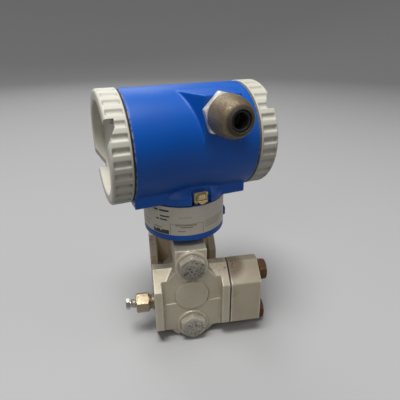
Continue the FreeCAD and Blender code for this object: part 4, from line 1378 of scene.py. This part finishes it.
@dataclass
class VentFitting:
    """The vent: a hexagon fitting in the cover and the bleed screw that closes it.

    Attributes:
        groove: The neck's turned groove, as distances from its seat and depths below the neck.
    """

    flat: float = 14.5 * MM
    neck: float = 6.4 * MM
    groove: tuple[Pair, ...] = (
        (0.0, 0.0), (1.6 * MM, 0.0), (2.1 * MM, 0.9 * MM), (3.0 * MM, 0.9 * MM), (3.4 * MM, 0.0),
    )
    thread: float = 4.5 * MM
    thread_edge: float = 0.8 * MM
    bore: float = 4.1 * MM
    bore_edge: float = 0.5 * MM
    bore_depth: float = 7.0 * MM
    hexagon_length: float = 10.4 * MM
    neck_length: float = 4.2 * MM
    screw_radius: float = 3.7 * MM
    screw_tip_edge: float = 0.6 * MM
    screw_tip: float = 0.3 * MM
    screw_waist: float = 3.0 * MM
    screw_waist_length: float = 0.9 * MM
    screw_runout: float = 0.3 * MM
    screw_flat: float = 7.9 * MM
    screw_head: float = 3.2 * MM
    thread_pitch: float = 1.0 * MM
    thread_depth: float = 0.5 * MM
    screw_turn: float = math.radians(30.0)

    def axis(self) -> Spindle:
        """The vent's axis, pointing out of the cover's end."""
        return Spindle(joint_vector("vent_screw_turn", "pos_m"), -EAST, NORTH, UP)

    def fitting(self) -> Piece:
        """The fitting with a turned groove next to the cover.

        Returns:
            The fitting.
        """
        axis = self.axis()
        root, face = axis.reach("vent_body")
        start = face - self.hexagon_length
        seat = start - self.neck_length
        bottom = face - self.bore_depth
        profile = [
            *sharp((root, 0.0), (root, self.thread - self.thread_edge)),
            *sharp((root + self.thread_edge, self.thread), (seat, self.thread)),
            *[(seat + along, self.neck - depth, Row.FINE) for along, depth in self.groove],
            *sharp((start, self.neck)), *crowned(start, face, self.flat, both_ends=True),
            *sharp((face, self.bore + self.bore_edge), (face - self.bore_edge, self.bore)),
            *sharp((bottom, self.bore), (bottom, 0.0)),
        ]
        return Workbench.turned("vent_fitting", axis, rounded(profile), HEXAGON_COLUMNS, hexed(self.flat))

    def screw(self) -> Piece:
        """The bleed screw with its thread and small hexagon head.

        Returns:
            The screw.
        """
        axis = self.axis()
        tip, face = axis.reach("vent_screw")
        under = face - self.screw_head
        waist = under - self.screw_waist_length
        profile = [
            *sharp((tip, 0.0), (tip, self.screw_radius - self.screw_tip_edge)),
            *threaded(
                tip + self.screw_tip, waist - self.screw_runout, self.screw_radius,
                self.thread_pitch, self.thread_depth),
            *sharp((waist, self.screw_waist), (under, self.screw_waist)),
            *crowned(under, face, self.screw_flat, both_ends=True), *sharp((face, 0.0)),
        ]
        shape = hexed(self.screw_flat, self.screw_turn)
        return Workbench.turned("vent_screw_dressed", axis, rounded(profile), HEXAGON_COLUMNS, shape)

    def build(self) -> None:
        """Make and paint both pieces."""
        finish_piece(self.fitting(), VENT_STEEL, "process_body", "vent_body")
        finish_piece(self.screw(), BRIGHT_STEEL, "vent_stem", "vent_screw")


@dataclass(frozen=True)
class PrintField:
    """One plain field of print on the plate, by angles in degrees and heights in millimetres."""

    start: float
    end: float
    low: float
    high: float


@dataclass
class NeckPiece:
    """The painted neck with its bottom ring and side lug, and the plate bent round it."""

    ring_low: float = 87.4 * MM
    ring_high: float = 92.4 * MM
    ring_radius: float = 32.6 * MM
    radius: float = 31.8 * MM
    top: float = 116.4 * MM
    bore: float = 21.0 * MM
    floor: float = 93.4 * MM
    spigot: float = 26.0 * MM
    spigot_top: float = 124.4 * MM
    columns: int = 144
    plate_radii: Pair = (32.1 * MM, 32.6 * MM)
    plate_heights: Pair = (92.7 * MM, 116.1 * MM)
    plate_angles: Pair = (-238.0, -2.0)
    print_lift: float = 0.03 * MM
    lug_root: float = 22.0 * MM
    lug_reach: float = 35.4 * MM
    lug_sides: Pair = (-0.6 * MM, 5.4 * MM)
    lug_heights: Pair = (91.0 * MM, 98.0 * MM)
    lug_edge: float = 0.8 * MM
    dark_fields: tuple[PrintField, ...] = (
        PrintField(-140.0, -133.0, 111.9, 113.4), PrintField(-131.0, -116.8, 111.9, 113.4),
        PrintField(-130.0, -116.5, 107.4, 108.6), PrintField(-137.0, -132.0, 104.6, 105.8),
        PrintField(-130.5, -119.5, 104.6, 105.8), PrintField(-142.6, -117.6, 93.1, 95.3),
        PrintField(-142.6, -139.5, 95.3, 96.6), PrintField(-137.5, -131.0, 95.3, 96.6),
        PrintField(-129.0, -117.6, 95.3, 96.6),
    )
    pale_fields: tuple[PrintField, ...] = (
        PrintField(-115.9, -115.3, 93.2, 102.4), PrintField(-115.9, -70.1, 102.1, 102.4),
        PrintField(-70.7, -70.1, 93.2, 102.4), PrintField(-108.5, -80.0, 100.8, 101.6),
        PrintField(-102.0, -85.0, 99.2, 100.0), PrintField(-105.0, -95.0, 95.9, 96.6),
        PrintField(-142.0, -128.0, 98.0, 98.7), PrintField(-67.0, -30.0, 102.8, 103.2),
        PrintField(-67.0, -26.0, 101.2, 101.6), PrintField(-67.0, -34.0, 99.6, 100.0),
        PrintField(-67.0, -42.0, 98.0, 98.4), PrintField(-166.0, -148.0, 100.8, 101.3),
        PrintField(-166.0, -150.0, 97.4, 97.9), PrintField(-104.0, -86.0, 107.6, 107.9),
    )

    def neck(self) -> Piece:
        """The turned neck with its lug.

        Returns:
            The neck.
        """
        profile: list[Corner] = [
            (self.ring_low, 0.0, Row.SHARP), (self.ring_low, self.ring_radius, Row.ROUND),
            (self.ring_high, self.ring_radius, Row.SOFT), (self.ring_high, self.radius, Row.FINE),
            (self.top, self.radius, Row.SOFT), (self.top, self.spigot, Row.FINE),
            (self.spigot_top, self.spigot, Row.SOFT), (self.spigot_top, self.bore, Row.SOFT),
            (self.floor, self.bore, Row.SOFT), (self.floor, 0.0, Row.SHARP),
        ]
        turned = Workbench.turned("neck_turned", NECK_AXIS, rounded(profile), self.columns)
        low, high = self.lug_heights
        corners = oblong(self.lug_root, self.lug_reach, *self.lug_sides)
        lug = Workbench.prism("neck_lug", [NECK_AXIS.flat(low, x, y) for x, y in corners], UP * (high - low))
        Workbench.soften(lug, self.lug_edge)
        return Workbench.join("neck_dressed", [turned, lug])

    def printed(self, name: str, fields: Sequence[PrintField]) -> Piece:
        """Fields of print just proud of the plate.

        Args:
            name: The piece's name.
            fields: The fields.

        Returns:
            All the fields as one piece.
        """
        face = self.plate_radii[1]
        radii = (face - self.print_lift, face + self.print_lift)
        patches = []
        for field in fields:
            heights = (field.low * MM, field.high * MM)
            patches.append(Workbench.arc_sheet(name, NECK_AXIS, radii, heights, (field.start, field.end)))
        return Workbench.join(name, patches)

    def build(self) -> None:
        """Make the neck, the plate and its print."""
        finish_piece(self.neck(), BLUE_PAINT, "process_body", "neck")
        plate = Workbench.arc_sheet(
            "plate_dressed", NECK_AXIS, self.plate_radii, self.plate_heights, self.plate_angles)
        finish_piece(plate, PLATE_METAL, "process_body", "nameplate")
        finish_piece(self.printed("plate_dark_print", self.dark_fields), DARK_PRINT, "process_body")
        finish_piece(self.printed("plate_pale_print", self.pale_fields), PALE_PRINT, "process_body")


@dataclass
class CableGland:
    """The cable gland: hexagon body, domed nut and the rubber in its mouth.

    Attributes:
        dome_rows: The dome's distances from the nut's start and radii, in millimetres.
    """

    flat: float = 27.0 * MM
    turn: float = math.radians(16.0)
    hexagon: float = 4.6 * MM
    gap: float = 0.4 * MM
    thread: float = 9.7 * MM
    thread_tip: float = 1.0 * MM
    thread_depth: float = 0.7 * MM
    thread_pitch: float = 1.5 * MM
    runout: float = 0.5 * MM
    bore: float = 5.6 * MM
    body_columns: int = 96
    spigot: float = 9.0 * MM
    spigot_edge: float = 0.8 * MM
    spigot_depth: float = 0.6 * MM
    dome_bore: float = 9.4 * MM
    dome_hole: float = 7.0 * MM
    dome_bore_depth: float = 9.3 * MM
    dome_rows: tuple[Pair, ...] = (
        (0.0, 14.0), (7.0, 13.8), (12.0, 13.0), (16.2, 11.5), (19.0, 9.4), (20.3, 7.6),
    )
    dome_steps: int = 4
    ribs: int = 48
    columns_per_rib: int = 4
    rib_depth: float = 0.06 * MM
    rib_start: float = 8.5 * MM
    rubber_out: float = 6.7 * MM
    rubber_in: float = 5.0 * MM
    rubber_columns: int = 72
    lip: float = 0.3 * MM
    lip_length: float = 1.2 * MM

    def axis(self) -> Spindle:
        """The gland's axis, pointing out of the conduit entry."""
        out = joint_vector("gland_nut_travel", "axis")
        return Spindle(joint_vector("gland_nut_turn", "pos_m"), out, BARREL_WAY, UP)

    def body(self) -> Piece:
        """The threaded body with its thin hexagon.

        Returns:
            The body.
        """
        axis = self.axis()
        tail, tip = axis.reach("gland_body")
        start = axis.reach("gland_nut")[0] - self.gap - self.hexagon
        end = start + self.hexagon
        pitch, runout = self.thread_pitch, self.runout
        profile = [
            *sharp((tail, self.bore), (tail, self.thread - self.thread_tip)),
            *threaded(tail + self.thread_tip, start - runout, self.thread, pitch, self.thread_depth),
            *sharp((start, self.thread)), *crowned(start, end, self.flat), *sharp((end, self.spigot)),
            *threaded(end + runout, tip - runout, self.spigot, pitch, self.spigot_depth),
            *sharp((tip, self.spigot - self.spigot_edge), (tip, self.bore)),
        ]
        shape = hexed(self.flat, self.turn)
        return Workbench.turned("gland_body_dressed", axis, rounded(profile), self.body_columns, shape)

    def ribbed(self, along: float, radius: float, angle: float) -> float:
        """The nut's radius with fine ribs along its skirt.

        Args:
            along: The distance along the axis.
            radius: The turned radius.
            angle: The angle round the axis, in radians.

        Returns:
            The radius at that place.
        """
        if radius < self.rib_start:
            return radius
        return radius - self.rib_depth * (0.5 + 0.5 * math.cos(self.ribs * angle)) ** 2

    def nut(self) -> Piece:
        """The domed nut with a rolled mouth.

        Returns:
            The nut.
        """
        axis = self.axis()
        start, end = axis.reach("gland_nut")
        rows = [Vector((start + along * MM, radius * MM)) for along, radius in self.dome_rows]
        skirt: list[Corner] = [(start, self.dome_bore, Row.SHARP), (*rows[0], Row.SOFT)]
        for row, after in zip(rows, rows[1:]):
            for step in range(1, self.dome_steps + 1):
                skirt += sharp(tuple(row.lerp(after, step / self.dome_steps)))
        inner = start + self.dome_bore_depth
        skirt.append((end, self.dome_hole, Row.FINE))
        skirt += sharp((inner, self.dome_hole), (inner, self.dome_bore))
        columns = self.columns_per_rib * self.ribs
        return Workbench.turned("gland_nut_dressed", axis, rounded(skirt), columns, self.ribbed)

    def rubber(self) -> Piece:
        """The rubber ring with a soft lip.

        Returns:
            The ring.
        """
        axis = self.axis()
        start, end = axis.reach("gland_seal")
        profile: list[Corner] = [
            (start, self.rubber_in, Row.SOFT), (start, self.rubber_out, Row.SOFT),
            (end, self.rubber_out, Row.SOFT), (end, self.rubber_in + self.lip, Row.SOFT),
            (end - self.lip_length, self.rubber_in, Row.SOFT), (start, self.rubber_in, Row.SOFT),
        ]
        return Workbench.turned("gland_rubber_dressed", axis, rounded(profile)[:-1], self.rubber_columns)

    def build(self) -> None:
        """Make and paint the three pieces."""
        finish_piece(self.body(), BRIGHT_NICKEL, "housing", "gland_body")
        finish_piece(self.nut(), DIRTY_NICKEL, "gland_cap", "gland_nut")
        finish_piece(self.rubber(), BLACK_RUBBER, "gland_ring", "gland_seal")


@dataclass
class GroundClamp:
    """The brass saddle in the collar's slot with its slotted screw."""

    left: float = -2.2 * MM
    right: float = 8.4 * MM
    hole: float = 2.3 * MM
    hole_columns: int = 32
    hole_past: float = 1.0 * MM
    ear: float = 2.4 * MM
    plate: float = 1.5 * MM
    saddle_edge: float = 0.3 * MM
    head: float = 3.8 * MM
    head_height: float = 3.0 * MM
    head_columns: int = 48
    shank: float = 2.1 * MM
    slot: float = 1.0 * MM

    def axis(self) -> Spindle:
        """The screw's axis, pointing out of the slot.

        Returns:
            The axis.
        """
        middle = NECK_FOOT + BARREL_WAY * (self.left + self.right) / 2.0
        heights = [point.z for point in node_points("ground_screw")]
        middle += UP * (min(heights) + max(heights)) / 2.0
        return Spindle(middle, joint_vector("gland_nut_travel", "axis"), BARREL_WAY, UP)

    def block(self, name: str, start: float, end: float, corners: Sequence[Pair]) -> Piece:
        """A straight block along the screw's axis.

        Args:
            name: The piece's name.
            start: Where it starts along the axis.
            end: Where it ends.
            corners: Its outline across the axis.

        Returns:
            The block.
        """
        axis = self.axis()
        outline = [axis.flat(start, across, rise) for across, rise in corners]
        return Workbench.prism(name, outline, axis.along * (end - start))

    def saddle(self) -> Piece:
        """A square plate with turned-up ears at its corners.

        Returns:
            The saddle.
        """
        axis = self.axis()
        back, face = axis.reach("ground_clamp")
        low, high = axis.reach("ground_clamp", UP)
        half = (self.right - self.left) / 2.0
        top = back + self.plate
        plate = self.block("saddle_plate", back, top, oblong(-half, half, low, high))
        near, far = back - self.hole_past, face + self.hole_past
        bore = [(near, 0.0), (near, self.hole), (far, self.hole), (far, 0.0)]
        Workbench.carve(plate, Workbench.turned("saddle_hole", axis, bore, self.hole_columns))
        ears = [
            self.block("ear", top, face, oblong(x, x + self.ear, z, z + self.ear))
            for x in (-half, half - self.ear) for z in (low, high - self.ear)
        ]
        whole = Workbench.join("ground_saddle_dressed", [plate, *ears])
        Workbench.soften(whole, self.saddle_edge)
        return whole

    def screw(self) -> Piece:
        """The slotted cheese-head screw.

        Returns:
            The screw.
        """
        axis = self.axis()
        tip, top = axis.reach("ground_screw")
        under = top - self.head_height
        profile: list[Corner] = [
            *sharp((tip, 0.0), (tip, self.shank), (under, self.shank)),
            (under, self.head, Row.FINE), (top, self.head, Row.SOFT), (top, 0.0, Row.SHARP),
        ]
        made = Workbench.turned("ground_screw_dressed", axis, rounded(profile), self.head_columns)
        wide, half = 2.0 * self.head, self.slot / 2.0
        cutter = self.block("slot", top - self.slot, top + self.slot, oblong(-wide, wide, -half, half))
        Workbench.carve(made, cutter)
        return made

    def build(self) -> None:
        """Make and paint both pieces."""
        finish_piece(self.saddle(), DULL_BRASS, "housing", "ground_clamp")
        finish_piece(self.screw(), DULL_BRASS, "housing", "ground_screw")


@dataclass(frozen=True)
class Lamp:
    """A soft square lamp: its name, place, side and power in watts."""

    name: str
    place: Place
    size: float
    power: float


class Studio:
    """The floor, the lights and the camera."""

    CAMERA_AZIMUTH = math.radians(-9.8)
    CAMERA_ELEVATION = math.radians(24.92)
    CAMERA_ROLL = math.radians(0.47)
    CAMERA_PLACE = Vector((-32.5, -263.5, 232.7)) * MM
    CAMERA_NEAR = 0.01
    FOCAL_PIXELS = 363.17
    FRAME_PIXELS = 400.0
    SENSOR = 36.0
    FLOOR_RADIUS = 1.8
    FLOOR_RISE = 0.9
    FLOOR_DROP = -0.05 * MM
    FLOOR_STEPS = 12
    FLOOR_COLUMNS = 96
    FLOOR_COLOUR = (0.45, 0.45, 0.45)
    FLOOR_BOUNCE = (0.12, 0.12, 0.12)
    FLOOR_ROUGHNESS = 0.9
    WORLD_COLOUR = (1.0, 1.0, 1.0, 1.0)
    WORLD_STRENGTH = 0.08
    LAMP_AIM = Vector((0.0, 0.0, 0.1))
    LAMPS = (
        Lamp("ceiling", (-0.3, -0.25, 1.9), 0.8, 34.0), Lamp("skylight", (-0.25, 1.25, 1.15), 1.0, 6.0),
        Lamp("window", (-0.6, -0.9, 0.9), 0.6, 2.3), Lamp("fill", (1.1, -0.3, 0.6), 0.6, 1.8),
    )

    def camera(self) -> None:
        """Put the camera where the picture was taken from."""
        data = bpy.data.cameras.new("camera")
        data.sensor_width = self.SENSOR
        data.lens = self.SENSOR * self.FOCAL_PIXELS / self.FRAME_PIXELS
        data.clip_start = self.CAMERA_NEAR
        seat = Workbench.placed("camera", data)
        turn, tilt, roll = self.CAMERA_AZIMUTH, self.CAMERA_ELEVATION, self.CAMERA_ROLL
        back = Vector((math.sin(turn) * math.cos(tilt), -math.cos(turn) * math.cos(tilt), math.sin(tilt)))
        right = Vector((math.cos(turn), math.sin(turn), 0.0))
        up = back.cross(right)
        rolled_right = math.cos(roll) * right - math.sin(roll) * up
        rolled_up = math.cos(roll) * up + math.sin(roll) * right
        axes = Matrix((rolled_right, rolled_up, back)).transposed()
        seat.matrix_world = Matrix.Translation(self.CAMERA_PLACE) @ axes.to_4x4()
        bpy.context.scene.camera = seat

    def floor(self) -> None:
        """Lay a round pale floor whose far edge sweeps up on all sides."""
        profile = [(self.FLOOR_DROP, 0.0)]
        for step in range(self.FLOOR_STEPS + 1):
            angle = 0.5 * math.pi * step / self.FLOOR_STEPS
            height = self.FLOOR_DROP + self.FLOOR_RISE * (1.0 - math.cos(angle))
            profile.append((height, self.FLOOR_RADIUS + self.FLOOR_RISE * math.sin(angle)))
        columns = self.FLOOR_COLUMNS
        axis = Spindle(Vector(), UP, EAST, NORTH)
        points: list[Vector] = []
        faces: list[Face] = []
        for row, (along, radius) in enumerate(profile):
            points += [axis.at(along, radius, math.tau * column / columns) for column in range(columns)]
            if row:
                faces += belt((row - 1) * columns, row * columns, columns)
        sheet = Workbench.piece("floor", points, faces)
        shader = ShaderWriter("pale_floor")
        path = shader.add("ShaderNodeLightPath").outputs
        seen = shader.plus(path["Is Camera Ray"], path["Is Glossy Ray"])
        seen = shader.plus(seen, path["Is Transmission Ray"])
        shader.set("Base Color", shader.blend(seen, self.FLOOR_BOUNCE, self.FLOOR_COLOUR))
        shader.set("Roughness", self.FLOOR_ROUGHNESS)
        sheet.data.materials.append(shader.material)

    def hang(self, lamp: Lamp) -> None:
        """Hang a lamp that looks at the part.

        Args:
            lamp: The lamp.
        """
        data = bpy.data.lights.new(lamp.name, "AREA")
        data.size = lamp.size
        data.energy = lamp.power
        hung = Workbench.placed(lamp.name, data)
        hung.location = Vector(lamp.place)
        hung.rotation_mode = "QUATERNION"
        hung.rotation_quaternion = (self.LAMP_AIM - hung.location).to_track_quat("-Z", "Y")

    def build(self) -> None:
        """Set up floor, lamps, world and camera."""
        scene = bpy.context.scene
        scene.view_settings.view_transform = "Standard"
        world = bpy.data.worlds.new("studio")
        world.use_nodes = True
        sky = world.node_tree.nodes["Background"].inputs
        sky["Color"].default_value = self.WORLD_COLOUR
        sky["Strength"].default_value = self.WORLD_STRENGTH
        scene.world = world
        self.floor()
        for lamp in self.LAMPS:
            self.hang(lamp)
        self.camera()
        LOG.info("studio ready")


# What is built, in order, and the nodes that only get a finish
ASSEMBLIES = (
    Casting("front_cover_casting", "front_process_cover", "process_body", CAST_STEEL, 0.38 * MM, 4, 0.3),
    Casting("rear_cover_casting", "rear_process_cover", "process_body", REAR_STEEL, 0.45 * MM, 3, 0.3),
    Casting("connector_casting", "process_connector", "process_body", CONNECTOR_STEEL),
    Casting("core_casting", "sensor_core", "process_body", CAST_STEEL, 0.6 * MM),
    Casting("housing_casting", "electronics_housing", "housing", BLUE_HOUSING, 0.7 * MM),
    ScrewedCover(
        "electronics_cover_dressed", "electronics_cover", "electronics_lid", LEFT_END, GREY_STAINED,
        notch_angle=144.5, flute_angle=144.5, lean=1),
    ScrewedCover(
        "terminal_cover_dressed", "terminal_cover", "terminal_lid", RIGHT_END, GREY_PAINT,
        notch_angle=137.5, flute_angle=139.5, lean=-1),
    CoverBolts(), ConnectorBolts(), VentFitting(), NeckPiece(), CableGland(), GroundClamp(),
)
PLAIN_NODES = {
    "front_cover_gasket": DARK_GASKET, "rear_cover_gasket": DARK_GASKET, "connector_gasket": DARK_GASKET,
    "isolating_diaphragms": BRIGHT_STEEL, "vent_ball": BRIGHT_STEEL, "rear_vent_plug": BRIGHT_STEEL,
    "neck_seal": BLACK_RUBBER, "electronics_cover_seal": BLACK_RUBBER, "terminal_cover_seal": DUSTY_RUBBER,
    "electronics_module": BLACK_PLASTIC, "terminal_block": BLACK_PLASTIC, "terminal_screws": BRIGHT_STEEL,
    "conduit_plug": BRIGHT_NICKEL,
}


def main() -> None:
    """Build every piece, then the studio."""
    logging.basicConfig(level=logging.INFO, format="%(name)s: %(message)s")
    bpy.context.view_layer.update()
    for assembly in ASSEMBLIES:
        assembly.build()
    for node, finish in PLAIN_NODES.items():
        paint_node(node, finish)
    Studio().build()
    bpy.context.view_layer.update()


if __name__ == "__main__":
    main()
